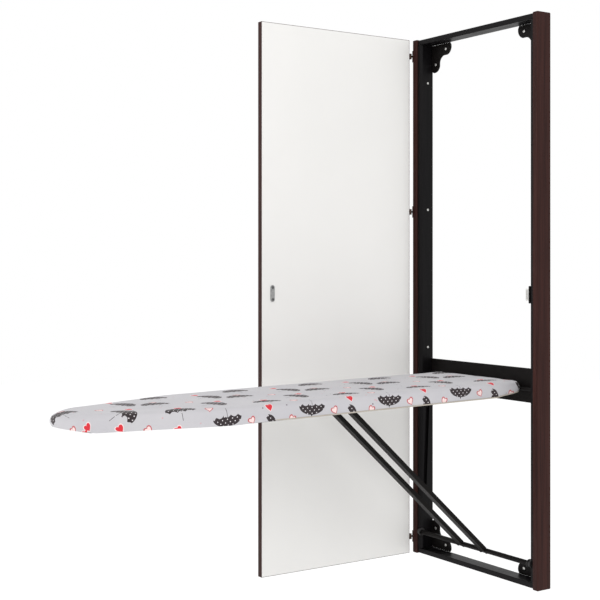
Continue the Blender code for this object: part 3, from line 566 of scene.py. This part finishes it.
# ---- screws ---------------------------------------------------------------------------
SCREW_RADIUS = 0.0040
SCREW_HEAD_HEIGHT = 0.0016
SHANK_RADIUS = 0.0018
SHANK_LENGTH = 0.0026
RECESS_SIZE = 0.0046
RECESS_DEPTH = 0.0011


def cross_cutter(size, depth):
    """A plus-shaped punch that tapers downwards, for a cross recess from Z = 0 down."""
    shape = bmesh.new()
    half, arm = size / 2, size * 0.11
    corners = [(half, -arm), (half, arm), (arm, arm), (arm, half), (-arm, half), (-arm, arm)]
    corners += [(-x, -y) for x, y in corners]
    top = [shape.verts.new((x, y, depth)) for x, y in corners]
    bottom = [shape.verts.new((x * 0.55, y * 0.55, -depth)) for x, y in corners]
    shape.faces.new(top)
    shape.faces.new(bottom[::-1])
    for step in range(len(corners)):
        following = (step + 1) % len(corners)
        shape.faces.new((top[step], bottom[step], bottom[following], top[following]))
    bmesh.ops.recalc_face_normals(shape, faces=shape.faces[:])
    return mesh_from("cross_cutter", shape)


def screw_head_mesh():
    """A pan head with a cross recess, its underside at Z = 0, and a short shank."""
    angles = [radians(i) for i in range(15, 91, 15)]
    dome = [(SCREW_RADIUS * sin(a), SCREW_HEAD_HEIGHT * (0.35 + 0.65 * cos(a))) for a in angles]
    profile = [
        (0, SCREW_HEAD_HEIGHT),
        *dome,
        (SCREW_RADIUS, 0.0001),
        (SCREW_RADIUS - 0.0003, 0),
        (SHANK_RADIUS, 0),
        (SHANK_RADIUS, -SHANK_LENGTH),
        (0, -SHANK_LENGTH),
    ]
    body = add_object("screw_body", turned_mesh("screw_body", profile, 32))
    cutter = add_object("screw_cutter", cross_cutter(RECESS_SIZE, RECESS_DEPTH))
    cutter.location = (0, 0, SCREW_HEAD_HEIGHT)
    cut = body.modifiers.new("recess", "BOOLEAN")
    cut.operation = "DIFFERENCE"
    cut.object = cutter
    cut.solver = "EXACT"
    bpy.context.view_layer.update()
    graph = bpy.context.evaluated_depsgraph_get()
    mesh = bpy.data.meshes.new_from_object(body.evaluated_get(graph))
    for obj in (body, cutter):
        bpy.data.objects.remove(obj, do_unlink=True)
    mesh.name = "cross_recess_screw"
    mesh.materials.clear()
    mesh.shade_smooth()
    mesh.set_sharp_from_angle(angle=radians(30))
    return mesh


SCREW = screw_head_mesh()
SCREW_FACING = {
    "room": Matrix.Rotation(radians(90), 4, "X"),
    "right": Matrix.Rotation(radians(90), 4, "Y"),
    "left": Matrix.Rotation(radians(-90), 4, "Y"),
}


def add_screw(name, place, facing, finish, body, turn, scale=1.0):
    """A screw with the underside of its head at a place. The scale is its size next to SCREW's."""
    mesh = SCREW.copy()
    mesh.name = name
    turned = SCREW_FACING[facing] @ Matrix.Rotation(turn, 4, "Z")
    mesh.transform(Matrix.Translation(place) @ turned @ Matrix.Scale(scale, 4))
    return link(name, mesh, finish, body)


def screw_turn(index):
    """Each screw stopped at an angle of its own."""
    return radians((index * 47) % 90)


def add_frame_screws():
    """Two screws in each gusset and three in each guide board."""
    index = 0
    for end in ("top", "bottom"):
        for side in ("left", "right"):
            for number in (1, 2):
                node = f"{end}_{side}_gusset_screw_{number}"
                low, _, centre, _ = box_of(node)
                place = (centre.x, low.y + SCREW_HEAD_HEIGHT, centre.z)
                screw = add_screw(node + "_head", place, "room", "zinc", "frame", screw_turn(index))
                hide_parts(node)
                index += 1
    for side, facing, sign in (("left", "right", 1), ("right", "left", -1)):
        for number in (1, 2, 3):
            node = f"{side}_guide_screw_{number}"
            low, high, centre, _ = box_of(node)
            head_x = (high.x if side == "left" else low.x) - sign * SCREW_HEAD_HEIGHT
            place = (head_x, centre.y, centre.z)
            screw = add_screw(node + "_head", place, facing, "zinc", "frame", screw_turn(index), 0.78)
            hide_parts(node)
            index += 1


# ---- the frame ------------------------------------------------------------------------
def finish_frame():
    """The stiles, the guide boards, the rails, the gussets and the crossbar's bushes."""
    for node in ("left_stile", "right_stile"):
        dress(node, "wenge", 0.0004, 1)
    for node in ("left_guide_board", "right_guide_board"):
        dress(node, "black_board", 0.0005)
    for node in ("top_rail", "bottom_rail"):
        dress(node, "black_rail", 0.0003, 1)
    dress("wall_rail", "black_steel", 0.0003, 1)
    for end in ("top", "bottom"):
        for side in ("left", "right"):
            dress(f"{end}_{side}_gusset", "black_steel", 0.0004)
    for side in ("left", "right"):
        add_bush(side)


BUSH_STEM_RADIUS = 0.0080  # the part that sits in the guide board


def add_bush(side):
    """The crossbar's flanged bush, turned, with a dished face."""
    node = f"{side}_crossbar_bush"
    low, high, centre, size = box_of(node)
    face_x, facing = (high.x, "right") if side == "left" else (low.x, "left")
    length = size.x
    radius = size.z / 2
    profile = [
        (0, -0.0005),
        (0.0045, -0.0005),
        (0.0060, 0),
        (radius - 0.0010, 0),
        (radius - 0.0003, -0.0003),
        (radius, -0.0010),
        (radius, -0.0018),
        (BUSH_STEM_RADIUS, -0.0018),
        (BUSH_STEM_RADIUS, -length),
        (0, -length),
    ]
    mesh = turned_mesh(node + "_turned", profile)
    mesh.transform(Matrix.Translation((face_x, centre.y, centre.z)) @ SCREW_FACING[facing])
    bush = link(node + "_turned", mesh, "black_nylon", "frame")
    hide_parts(node)


def add_catch():
    """The magnetic catch: a moulded body on a base, with two steel pole plates in its front."""
    low, high, centre, size = box_of("catch_magnet")
    body = link("catch_body", rounded_box("catch_body", low, high, 0.0012), "white_nylon", "frame")
    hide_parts("catch_magnet")
    for number, offset in ((1, -0.0022), (2, 0.0022)):
        plate_low = (centre.x + offset - 0.0006, low.y - 0.0006, centre.z - size.z * 0.40)
        plate_high = (centre.x + offset + 0.0006, centre.y, centre.z + size.z * 0.40)
        mesh = rounded_box(f"catch_pole_{number}", plate_low, plate_high, 0.0002, 1)
        link(f"catch_pole_{number}", mesh, "strike_steel", "frame")
    dress("catch_base", "black_steel", 0.0003, 1)
    base_low, _, base_centre, base_size = box_of("catch_base")
    for number, end in ((1, 1), (2, -1)):
        z = base_centre.z + end * (base_size.z / 2 - 0.0032)
        place = (base_low.x - 0.0001, base_centre.y, z)
        add_screw(f"catch_screw_{number}", place, "left", "zinc", "frame", screw_turn(number), 0.55)


# ---- the door and hinges --------------------------------------------------------------
DOOR_EDGE_BAND = 0.0009
KNUCKLE_RADIUS = 0.00412
KNUCKLE_GAP = 0.0002
KNUCKLE_CHAMFER = 0.0004
HINGE_SCREW_FROM_PIN = 0.009  # above and below the leaf's middle


def add_door():
    """White faced panel, wenge front and an edge band all round."""
    low, high, _, _ = box_of("door_panel")
    band = DOOR_EDGE_BAND
    inner_low = Vector((low.x + band, low.y + band, low.z + band))
    inner_high = Vector((high.x, high.y - band, high.z - band))
    mesh = rounded_box("door_board", inner_low, inner_high, 0.0003, 1)
    board = link("door_board", mesh, "white_panel", "door")
    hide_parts("door_panel")

    front_high = Vector((low.x + band - 0.00005, high.y - band, high.z - band))
    mesh = rounded_box("door_front_veneer", (low.x, low.y + band, low.z + band), front_high, 0.0002, 1)
    link("door_front_veneer", mesh, "wenge", "door")

    shape = bmesh.new()
    loops = []
    for y0, y1, z0, z1 in (
        (low.y, high.y, low.z, high.z),
        (low.y + band, high.y - band, low.z + band, high.z - band),
    ):
        corners = ((y0, z0), (y1, z0), (y1, z1), (y0, z1))
        loops.append([[shape.verts.new((x, y, z)) for y, z in corners] for x in (low.x, high.x)])
    (outer_back, outer_front), (inner_back, inner_front) = loops
    for i in range(4):
        j = (i + 1) % 4
        shape.faces.new((outer_back[i], outer_back[j], outer_front[j], outer_front[i]))
        shape.faces.new((inner_back[i], inner_back[j], inner_front[j], inner_front[i]))
        shape.faces.new((outer_back[i], outer_back[j], inner_back[j], inner_back[i]))
        shape.faces.new((outer_front[i], outer_front[j], inner_front[j], inner_front[i]))
    mesh = mesh_from("door_edge_band", shape)
    edge = link("door_edge_band", mesh, "wenge", "door")
    bevel = edge.modifiers.new("eased_edges", "BEVEL")
    bevel.width = 0.0003
    bevel.segments = 2
    bevel.limit_method = "ANGLE"


def knuckle_mesh(name, radius, height):
    """A short barrel about Z with chamfered ends."""
    edge = KNUCKLE_CHAMFER
    profile = [
        (0, height / 2),
        (radius - edge, height / 2),
        (radius, height / 2 - edge),
        (radius, edge - height / 2),
        (radius - edge, -height / 2),
        (0, -height / 2),
    ]
    return turned_mesh(name, profile, 32)


def add_hinges():
    """Smooth barrels over the CAD leaves, pins with eased ends, and screws in the frame's leaves."""
    stile_x = box_of("left_stile")[0].x
    for number in (1, 2, 3, 4):
        pin = f"hinge_{number}_pin"
        _, _, axis, size = box_of(pin)
        rod_in_place(pin + "_turned", pin, "Z", "bronzed_hinge", "frame", edge=0.0005)
        for part in ("frame", "door"):
            node = f"hinge_{number}_{part}_leaf"
            dress(node, "bronzed_hinge", 0.00015, 1)
        third = (size.z - 0.001) / 3
        for part, body, offsets in (("frame", "frame", (0,)), ("door", "door", (-1, 1))):
            for index, offset in enumerate(offsets, 1):
                name = f"hinge_{number}_{part}_knuckle_{index}"
                mesh = knuckle_mesh(name, KNUCKLE_RADIUS, third - KNUCKLE_GAP)
                mesh.transform(Matrix.Translation(axis + Vector((0, 0, offset * third))))
                link(name, mesh, "bronzed_hinge", body)
        _, leaf_high, leaf_centre, _ = box_of(f"hinge_{number}_frame_leaf")
        for index, end in ((1, 1), (2, -1)):
            place = (stile_x - 0.0014, leaf_high.y - 0.006, leaf_centre.z + end * HINGE_SCREW_FROM_PIN)
            name = f"hinge_{number}_frame_screw_{index}"
            add_screw(name, place, "left", "bronzed_hinge", "frame", screw_turn(number + index), 0.7)


def add_strike():
    """The strike plate with eased edges and two grey screws."""
    dress("strike_plate", "strike_steel", 0.0004)
    for number in (1, 2):
        node = f"strike_screw_{number}"
        _, high, centre, _ = box_of(node)
        place = (high.x - SCREW_HEAD_HEIGHT, centre.y, centre.z)
        turn = screw_turn(number)
        screw = add_screw(node + "_head", place, "right", "grey_screw", "door", turn, 0.85)
        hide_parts(node)


# ---- the legs, brackets, pins and shoes -----------------------------------------------
def add_legs():
    """Two tubes, the crossbar between their feet, and the rod they turn on at the top."""
    for side in ("left", "right"):
        dress(f"{side}_leg", "black_steel", 0.0012, 3)
    rod_in_place("crossbar_tube", "leg_crossbar", "X", "black_steel", "legs", edge=0.0008)
    rod_in_place("pivot_rod_turned", "leg_pivot_rod", "X", "zinc", "board")
    add_welds()


WELD_STEPS = 22
WELD_SIDES = 10
WELD_RADIUS = 0.0011
WELD_OFF_BAR = 0.0002
WELD_START, WELD_TURN = radians(190), radians(150)


def weld_mesh(name, middle, bar_radius):
    """A rippled bead part of the way round a bar along X, thinner at its two ends."""
    shape = bmesh.new()
    rings = []
    for i in range(WELD_STEPS + 1):
        part = i / WELD_STEPS
        angle = WELD_START + WELD_TURN * part
        out = Vector((0, cos(angle), sin(angle)))
        swell = WELD_RADIUS * (1 + 0.18 * cos(i * 2.4)) * sin(pi * (0.08 + 0.84 * part)) ** 0.4
        place = middle + out * (bar_radius + WELD_OFF_BAR)
        turns = [tau * k / WELD_SIDES for k in range(WELD_SIDES)]
        ring = [place + swell * (out * cos(a) + Vector((sin(a), 0, 0))) for a in turns]
        rings.append([shape.verts.new(point) for point in ring])
    for a, b in zip(rings, rings[1:]):
        for k in range(WELD_SIDES):
            following = (k + 1) % WELD_SIDES
            shape.faces.new((a[k], a[following], b[following], b[k]))
    shape.faces.new(rings[0])
    shape.faces.new(rings[-1])
    return mesh_from(name, shape)


def add_welds():
    """A weld bead on each side of each leg's foot, where it meets the crossbar."""
    _, _, bar, bar_size = box_of("leg_crossbar")
    for side in ("left", "right"):
        low, high, _, _ = box_of(f"{side}_leg")
        for number, x in ((1, low.x), (2, high.x)):
            name = f"{side}_leg_weld_{number}"
            mesh = weld_mesh(name, Vector((x, bar.y, bar.z)), bar_size.z / 2)
            link(name, mesh, "black_steel", "legs")


def add_board_fittings():
    """The brackets, the rear pins with their shoes, the steel deck and its rim."""
    for side in ("left", "right"):
        for part in ("axle_bracket", "leg_bracket"):
            dress(f"{side}_{part}", "black_steel", 0.0004)
        pin = f"{side}_guide_pin"
        rod_in_place(f"{side}_rear_pin", pin, "X", "black_steel", "board", 0.0008)
        dress(f"{side}_guide_shoe", "white_nylon", 0.0004)
    dress("board_rim", "black_steel", 0.0003, 1)
    dress("board_deck", "deck", 0.0003, 1)


# ---- the padded cover -----------------------------------------------------------------
# The cover is made level, as if the board did not droop, and tilted at the end.
BOARD_DROOP = radians(0.85)
NOSE_RADIUS = 0.0706
NOSE_TAPER = radians(17.2)
SHOULDER_RADIUS = 0.250
REAR_CORNER_RADIUS = 0.012
REAR_SKIRT = 0.027
REAR_SKIRT_AT_LEGS = 0.0220  # shorter in the middle of the rear edge, clear of the stored legs
LEGS_HALF_SPAN = 0.064
LEGS_BLEND = 0.030
REAR_TAPER = 0.080
TIP_SKIRT = 0.029
TIP_TAPER = 0.055
COVER_SPACING = 0.0055
TOP_RINGS = 27
SKIRT_RINGS = 8
SIDE_ROUND = 0.0085
TOP_DROP = 0.0009
EDGE_DROP = 0.0007  # where the top turns over into the side
TAPE_BELOW = 0.0014  # how far the tape hangs below the cloth
PAD_THICKNESS = 0.0080
# The nose's own profile: how far out from the board's edge, and how far below its top.
TIP_PROFILE = (
    (-0.0100, 0.0045),
    (-0.0060, 0.0058),
    (-0.0026, 0.0074),
    (0.0002, 0.0096),
    (0.0022, 0.0128),
    (0.0034, 0.0160),
)
TIP_REACH = 0.070  # the nose's own profile fades into the side's within this distance
CLOTH_FRAMES = 20
MOST_SWELL = 0.0022
MOST_SINK = 0.0004
CREASE_DEPTH = 0.0017
PULL_REACH = 0.024  # how far the pull at a rear corner can be seen
PULL = (0.0005, 0.0035, -0.0020)
HEM_TUCK = 0.48  # nearer to the tip than this, the hem is turned in
HEM_TUCK_BLEND = 0.08
HEM_TUCK_IN = 0.0012
HEM_TUCK_UP = 0.0016
# The tape's cross-section: how far out from the cloth's lower edge, and how far up.
HEM_SECTION = (
    (0.0005, 0.0024),
    (0.0008, 0.0018),
    (0.0009, 0.0004),
    (0.0006, -0.0008),
    (-0.0006, -0.0013),
    (-0.0020, -0.0010),
    (-0.0027, 0.0006),
    (-0.0027, 0.0024),
    (-0.0022, 0.0026),
    (-0.0018, 0.0008),
    (-0.0008, -0.0002),
    (0.0002, 0.0006),
)


def tilt_matrix():
    """The board's droop, about its rear pin."""
    pin = box_of("left_guide_pin")[2]
    middle = Vector((0, pin.y, pin.z))
    turn = Matrix.Rotation(BOARD_DROOP, 4, "X")
    return Matrix.Translation(middle) @ turn @ Matrix.Translation(-middle)


def level_box():
    """The low and high corners of the cover's CAD node, with the droop taken out."""
    level = tilt_matrix().inverted()
    node = NODES["cover_pad"]
    corners = np.array([level @ node.matrix_world @ vert.co for vert in node.data.vertices])
    return Vector(corners.min(axis=0)), Vector(corners.max(axis=0))


def board_outline():
    """Points and outward normals round the board's edge, evenly spaced, symmetric about X = 0."""
    low, high = level_box()
    half = high.x
    nose_y = low.y + NOSE_RADIUS
    shoulder_x = half - SHOULDER_RADIUS
    offset = SHOULDER_RADIUS - NOSE_RADIUS + shoulder_x * cos(NOSE_TAPER)
    shoulder_y = nose_y + offset / sin(NOSE_TAPER)
    corner = (half - REAR_CORNER_RADIUS, high.y - REAR_CORNER_RADIUS)
    path = []
    for middle, radius, start, end in (
        ((0, nose_y), NOSE_RADIUS, -pi / 2, -NOSE_TAPER),
        ((shoulder_x, shoulder_y), SHOULDER_RADIUS, -NOSE_TAPER, 0),
        (corner, REAR_CORNER_RADIUS, 0, pi / 2),
    ):
        for i in range(61):
            angle = start + (end - start) * i / 60
            path.append((middle[0] + radius * cos(angle), middle[1] + radius * sin(angle)))
    path.append((0, high.y))
    path = np.array(path)
    run = np.concatenate([[0], np.cumsum(np.linalg.norm(np.diff(path, axis=0), axis=1))])
    count = round(run[-1] / COVER_SPACING)
    at = np.linspace(0, run[-1], count + 1)
    right = np.stack([np.interp(at, run, path[:, 0]), np.interp(at, run, path[:, 1])], axis=1)
    left = right[1:-1][::-1] * (-1, 1)
    points = np.concatenate([right, left])
    tangent = np.roll(points, -1, axis=0) - np.roll(points, 1, axis=0)
    tangent /= np.linalg.norm(tangent, axis=1)[:, None]
    normals = np.stack([tangent[:, 1], -tangent[:, 0]], axis=1)
    centre_y = np.clip(points[:, 1], nose_y, high.y - REAR_CORNER_RADIUS)
    core = np.stack([np.zeros(len(points)), centre_y], axis=1)
    return points, normals, core


def skirt_height(points):
    """How far the cover hangs down: less towards both ends, and least where the stored legs pass."""
    low, high = level_box()
    full = high.z - low.z
    beside_legs = np.clip((np.abs(points[:, 0]) - LEGS_HALF_SPAN) / LEGS_BLEND, 0, 1)
    rear_skirt = REAR_SKIRT_AT_LEGS + (REAR_SKIRT - REAR_SKIRT_AT_LEGS) * beside_legs
    rear = np.clip((high.y - points[:, 1]) / REAR_TAPER, 0, 1)
    tip = np.clip((points[:, 1] - low.y) / TIP_TAPER, 0, 1)
    return np.minimum(rear_skirt + (full - rear_skirt) * rear, TIP_SKIRT + (full - TIP_SKIRT) * tip)


def tip_share(y):
    """1 at the nose's tip, 0 further back than its reach, with a smooth change."""
    low = level_box()[0]
    part = np.clip(1 - (y - low.y) / TIP_REACH, 0, 1)
    return part * part * (3 - 2 * part)


def cover_rings():
    """Ring by ring from the middle of the top, over the edge, down the skirt and back inside.

    Returns the rings' points, the same points laid out flat for the print, and the indices of
    the first ring that is held still and of the skirt's lowest ring."""
    high = level_box()[1]
    points, normals, core = board_outline()
    top = high.z - TOP_DROP
    height = skirt_height(points)
    share = tip_share(points[:, 1])
    first_inset = SIDE_ROUND * (1 - share) - TIP_PROFILE[0][0] * share
    inset = points - normals * first_inset[:, None]
    first_drop = EDGE_DROP * (1 - share) + (TIP_PROFILE[0][1] - TOP_DROP) * share
    rings, flats = [], []

    def add(xy, z, flat):
        rings.append(np.column_stack([xy, np.broadcast_to(z, len(points))]))
        flats.append(np.column_stack([-flat[:, 1], flat[:, 0], np.zeros(len(points))]))

    for k in range(TOP_RINGS):
        part = k / (TOP_RINGS - 1)
        xy = core + (inset - core) * part
        distance = np.linalg.norm(inset - xy, axis=1)
        fall = first_drop * np.exp(-distance / (0.009 + 0.011 * share))
        add(xy, top - fall, xy)
    travel = np.zeros(len(points))
    skirt = height - TAPE_BELOW
    last_out, last_drop = -first_inset, first_drop
    for k, (tip_out, tip_drop) in enumerate(TIP_PROFILE[1:], 1):
        angle = radians(90) * k / (len(TIP_PROFILE) - 1)
        side_out = SIDE_ROUND * (sin(angle) - 1)
        side_drop = EDGE_DROP + SIDE_ROUND * (1 - cos(angle))
        out = side_out * (1 - share) + tip_out * share
        drop = side_drop * (1 - share) + (tip_drop - TOP_DROP) * share
        travel = travel + np.hypot(out - last_out, drop - last_drop)
        last_out, last_drop = out, drop
        add(points + normals * out[:, None], top - drop, inset + normals * travel[:, None])
    for k in range(1, SKIRT_RINGS + 1):
        part = k / SKIRT_RINGS
        drop = last_drop + (skirt - last_drop) * part
        bow = 0.0009 * sin(pi * part) - 0.0010 * part**3
        out = last_out * (1 - part**2.2) + bow
        flat = inset + normals * (travel + drop - last_drop)[:, None]
        add(points + normals * out[:, None], top - drop, flat)
    lowest = len(rings) - 1
    bottom = top - skirt
    run = (travel + skirt - last_drop)[:, None]
    add(points - normals * 0.0022, bottom - 0.0002, inset + normals * (run + 0.002))
    held = len(rings)
    for part in (0.15, 0.5, 0.85):
        z = bottom + (height - 0.0090) * part
        add(points - normals * 0.0026, z, inset + normals * (run + 0.002 + 0.03 * part))
    rim = points - normals * 0.0027
    for part in (1.0, 0.8, 0.55, 0.3, 0.0):
        xy = core + (rim - core) * part
        add(xy, high.z - PAD_THICKNESS, xy)
    return np.array(rings), np.array(flats), held, lowest


def cover_mesh():
    """The cover's mesh, with each vertex's place in the print, and the rings' vertex indices."""
    rings, flats, held, lowest = cover_rings()
    count = rings.shape[1]
    verts, flat = [], []
    index = np.zeros(rings.shape[:2], int)
    for k, ring in enumerate(rings):
        shared = {}
        for j, point in enumerate(ring):
            if k in (0, len(rings) - 1):
                key = tuple(np.round(point, 6))
                if key in shared:
                    index[k, j] = shared[key]
                    continue
                shared[key] = len(verts)
            index[k, j] = len(verts)
            verts.append(point)
            flat.append(flats[k, j])
    faces = []
    for k in range(len(rings) - 1):
        for j in range(count):
            i = (j + 1) % count
            corners = (index[k, j], index[k + 1, j], index[k + 1, i], index[k, i])
            corners = tuple(dict.fromkeys(int(c) for c in corners))
            if len(corners) > 2:
                faces.append(corners)
    mesh = bpy.data.meshes.new("printed_cover")
    mesh.from_pydata([tuple(v) for v in verts], [], faces)
    attribute = mesh.attributes.new("print_place", "FLOAT_VECTOR", "POINT")
    attribute.data.foreach_set("vector", np.array(flat, np.float32).ravel())
    mesh.update()
    return mesh, index, held, lowest


def coordinates(mesh):
    """A mesh's vertices as an array."""
    co = np.empty(len(mesh.vertices) * 3, np.float32)
    mesh.vertices.foreach_get("co", co)
    return co.reshape(-1, 3).astype(float)


def simulate_cover(obj, index, held):
    """Blows the pad up a little against its own cloth, with slack in the skirt and a tight hem."""
    mesh = obj.data
    rest = coordinates(mesh)
    pins = obj.vertex_groups.new(name="held")
    pins.add(sorted({int(i) for i in index[held:].ravel()}), 1.0, "REPLACE")
    slack = obj.vertex_groups.new(name="slack")
    for k in range(TOP_RINGS - 1, held):
        slack.add([int(i) for i in index[k]], min(1.0, (k - TOP_RINGS + 2) / 6), "REPLACE")
    cloth = obj.modifiers.new("cloth", "CLOTH")
    settings = cloth.settings
    settings.quality = 5
    settings.mass = 0.25
    settings.tension_stiffness = 12
    settings.compression_stiffness = 12
    settings.shear_stiffness = 6
    settings.bending_stiffness = 0.15
    settings.effector_weights.gravity = 0
    settings.use_pressure = True
    settings.uniform_pressure_force = 3.0
    settings.vertex_group_mass = "held"
    settings.pin_stiffness = 1.0
    settings.vertex_group_shrink = "slack"
    settings.shrink_min = 0.0
    settings.shrink_max = -0.055
    cloth.collision_settings.use_collision = False
    cloth.collision_settings.use_self_collision = False
    scene = bpy.context.scene
    for number in range(1, CLOTH_FRAMES + 1):
        scene.frame_set(number)
    graph = bpy.context.evaluated_depsgraph_get()
    moved = coordinates(obj.evaluated_get(graph).data)
    obj.modifiers.remove(cloth)
    obj.vertex_groups.clear()
    scene.frame_set(1)
    move = moved - rest
    length = np.linalg.norm(move, axis=1)
    move *= (MOST_SWELL / np.maximum(length, MOST_SWELL))[:, None]
    normals = board_outline()[1]
    for ring in index[:held]:
        # The steel deck and its rim hold the cloth out: it only swells away from them.
        inward = np.minimum((move[ring, :2] * normals).sum(axis=1), 0)
        move[ring, :2] -= inward[:, None] * normals
        move[ring, 2] = np.maximum(move[ring, 2], -MOST_SINK)
    return rest + move


def crease_cover(co, index, lowest):
    """Small gathers that the tight hem pulls into the skirt, most of them round the curves."""
    _, normals, _ = board_outline()
    bend = np.linalg.norm(np.roll(normals, -2, axis=0) - np.roll(normals, 2, axis=0), axis=1)
    bend = np.clip(bend / 0.12, 0.12, 1.0)
    first = TOP_RINGS + 3
    for k in range(first, lowest + 2):
        part = (k - first) / (lowest + 1 - first)
        for j, vert in enumerate(index[k]):
            place = Vector((j * 0.21, 0.7 * part, 3.7))
            ripple = noise.noise(place) + 0.5 * noise.noise(place * 2.3)
            out = CREASE_DEPTH * bend[j] * part**1.3 * ripple
            co[vert, :2] += normals[j] * out
    return co


def pull_rear_corners(co):
    """The cover's two rear corners end in a folded point that stands out behind the board."""
    high = level_box()[1]
    for side in (-1, 1):
        tip = np.array([side * (high.x - 0.0015), high.y, high.z - 0.0135])
        away = np.linalg.norm((co - tip) * (1.0, 1.0, 1.25), axis=1)
        pull = np.clip(1 - away / PULL_REACH, 0, 1) ** 1.6
        co += pull[:, None] * np.array([side * PULL[0], *PULL[1:]])
    return co


def subdivide(obj):
    finer = obj.modifiers.new("finer", "SUBSURF")
    finer.levels = 1
    finer.render_levels = 1


def add_cover():
    """The printed cover: built level, blown up, creased, and then tilted with the board."""
    mesh, index, held, lowest = cover_mesh()
    cover = add_object("printed_cover", mesh)
    mesh.materials.append(FINISHES["printed_cotton"])
    co = simulate_cover(cover, index, held)
    co = crease_cover(co, index, lowest)
    co[:, 2] = np.minimum(co[:, 2], level_box()[1].z - 0.0001)
    co = pull_rear_corners(co)
    mesh.vertices.foreach_set("co", co.astype(np.float32).ravel())
    mesh.transform(tilt_matrix())
    mesh.update()
    mesh.shade_smooth()
    subdivide(cover)
    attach(cover, "board")
    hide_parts("cover_pad")
    add_hem(co, index, lowest)


def add_hem(co, index, lowest):
    """Narrow bias tape over the cover's lower edge, which turns in under the nose."""
    points, normals, _ = board_outline()
    tip_y = level_box()[0].y
    count = len(points)
    outward = np.column_stack([normals, np.zeros(count)])
    edge = co[index[lowest]].copy()
    up = co[index[lowest - 1]] - edge
    up /= np.linalg.norm(up, axis=1)[:, None]
    # Towards the nose the tape is pulled in under the cover, out of sight from the side.
    tucked = np.clip((HEM_TUCK - (points[:, 1] - tip_y)) / HEM_TUCK_BLEND, 0, 1)[:, None]
    edge -= outward * HEM_TUCK_IN * tucked
    rings = [edge + outward * out + up * (rise + HEM_TUCK_UP * tucked) for out, rise in HEM_SECTION]
    shape = bmesh.new()
    verts = [[shape.verts.new(point) for point in ring] for ring in rings]
    for a, b in zip(verts, verts[1:] + verts[:1]):
        for j in range(count):
            i = (j + 1) % count
            shape.faces.new((a[j], a[i], b[i], b[j]))
    mesh = mesh_from("cover_hem", shape)
    mesh.transform(tilt_matrix())
    hem = link("cover_hem", mesh, "tape", "board")
    subdivide(hem)


# ---- floor, light and camera ----------------------------------------------------------
FLOOR_RADIUS = 9.0
FLOOR_BELOW = 0.40
LIGHT_AIM = (0, -0.4, 0.1)


def add_stage():
    """A pale floor well below the frame, which hangs on a wall, and soft even light."""
    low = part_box("left_stile")[0]
    shape = bmesh.new()
    bmesh.ops.create_circle(shape, cap_ends=True, segments=96, radius=FLOOR_RADIUS)
    mesh = mesh_from("floor", shape)
    floor = add_object("floor", mesh)
    floor.location = (0, 0, low.z - FLOOR_BELOW)
    finish = Finish("pale_floor", roughness=0.9, specular=0.1)
    finish.shader.inputs["Base Color"].default_value = (0.95, 0.95, 0.95, 1.0)
    finish.shader.inputs["Emission Color"].default_value = (1.0, 1.0, 1.0, 1.0)
    finish.shader.inputs["Emission Strength"].default_value = 0.10
    mesh.materials.append(finish.material)

    world = bpy.data.worlds.new("studio")
    bpy.context.scene.world = world
    world.use_nodes = True
    background = world.node_tree.nodes["Background"]
    background.inputs["Color"].default_value = (1.0, 1.0, 1.0, 1.0)
    background.inputs["Strength"].default_value = 1.0
    for name, place, size, power in (
        ("key", (1.6, -2.6, 1.9), 2.0, 12),
        ("low", (2.4, -1.2, -0.55), 1.6, 8),
        ("fill", (-1.2, -3.2, 0.6), 2.4, 10),
    ):
        light = bpy.data.lights.new(name, "AREA")
        light.shape = "DISK"
        light.size = size
        light.energy = power
        lamp = add_object(name, light)
        lamp.location = place
        aim = Vector(LIGHT_AIM) - Vector(place)
        lamp.rotation_euler = aim.to_track_quat("-Z", "Y").to_euler()


def add_camera():
    """At eye level to the right of the frame, level, with the lens shifted to take the frame in."""
    camera = bpy.data.cameras.new("camera")
    camera.lens = 72.22
    camera.sensor_width = 36.0
    camera.shift_y = -0.0642
    obj = add_object("camera", camera)
    obj.location = (2.2565, -2.0456, 0.2961)
    obj.rotation_euler = (radians(90), 0, radians(56.5))
    bpy.context.scene.camera = obj


finish_frame()
add_frame_screws()
add_catch()
add_door()
add_hinges()
add_strike()
add_legs()
add_board_fittings()
add_cover()
add_stage()
add_camera()
bpy.context.scene.view_settings.view_transform = "Standard"

bpy.context.view_layer.update()
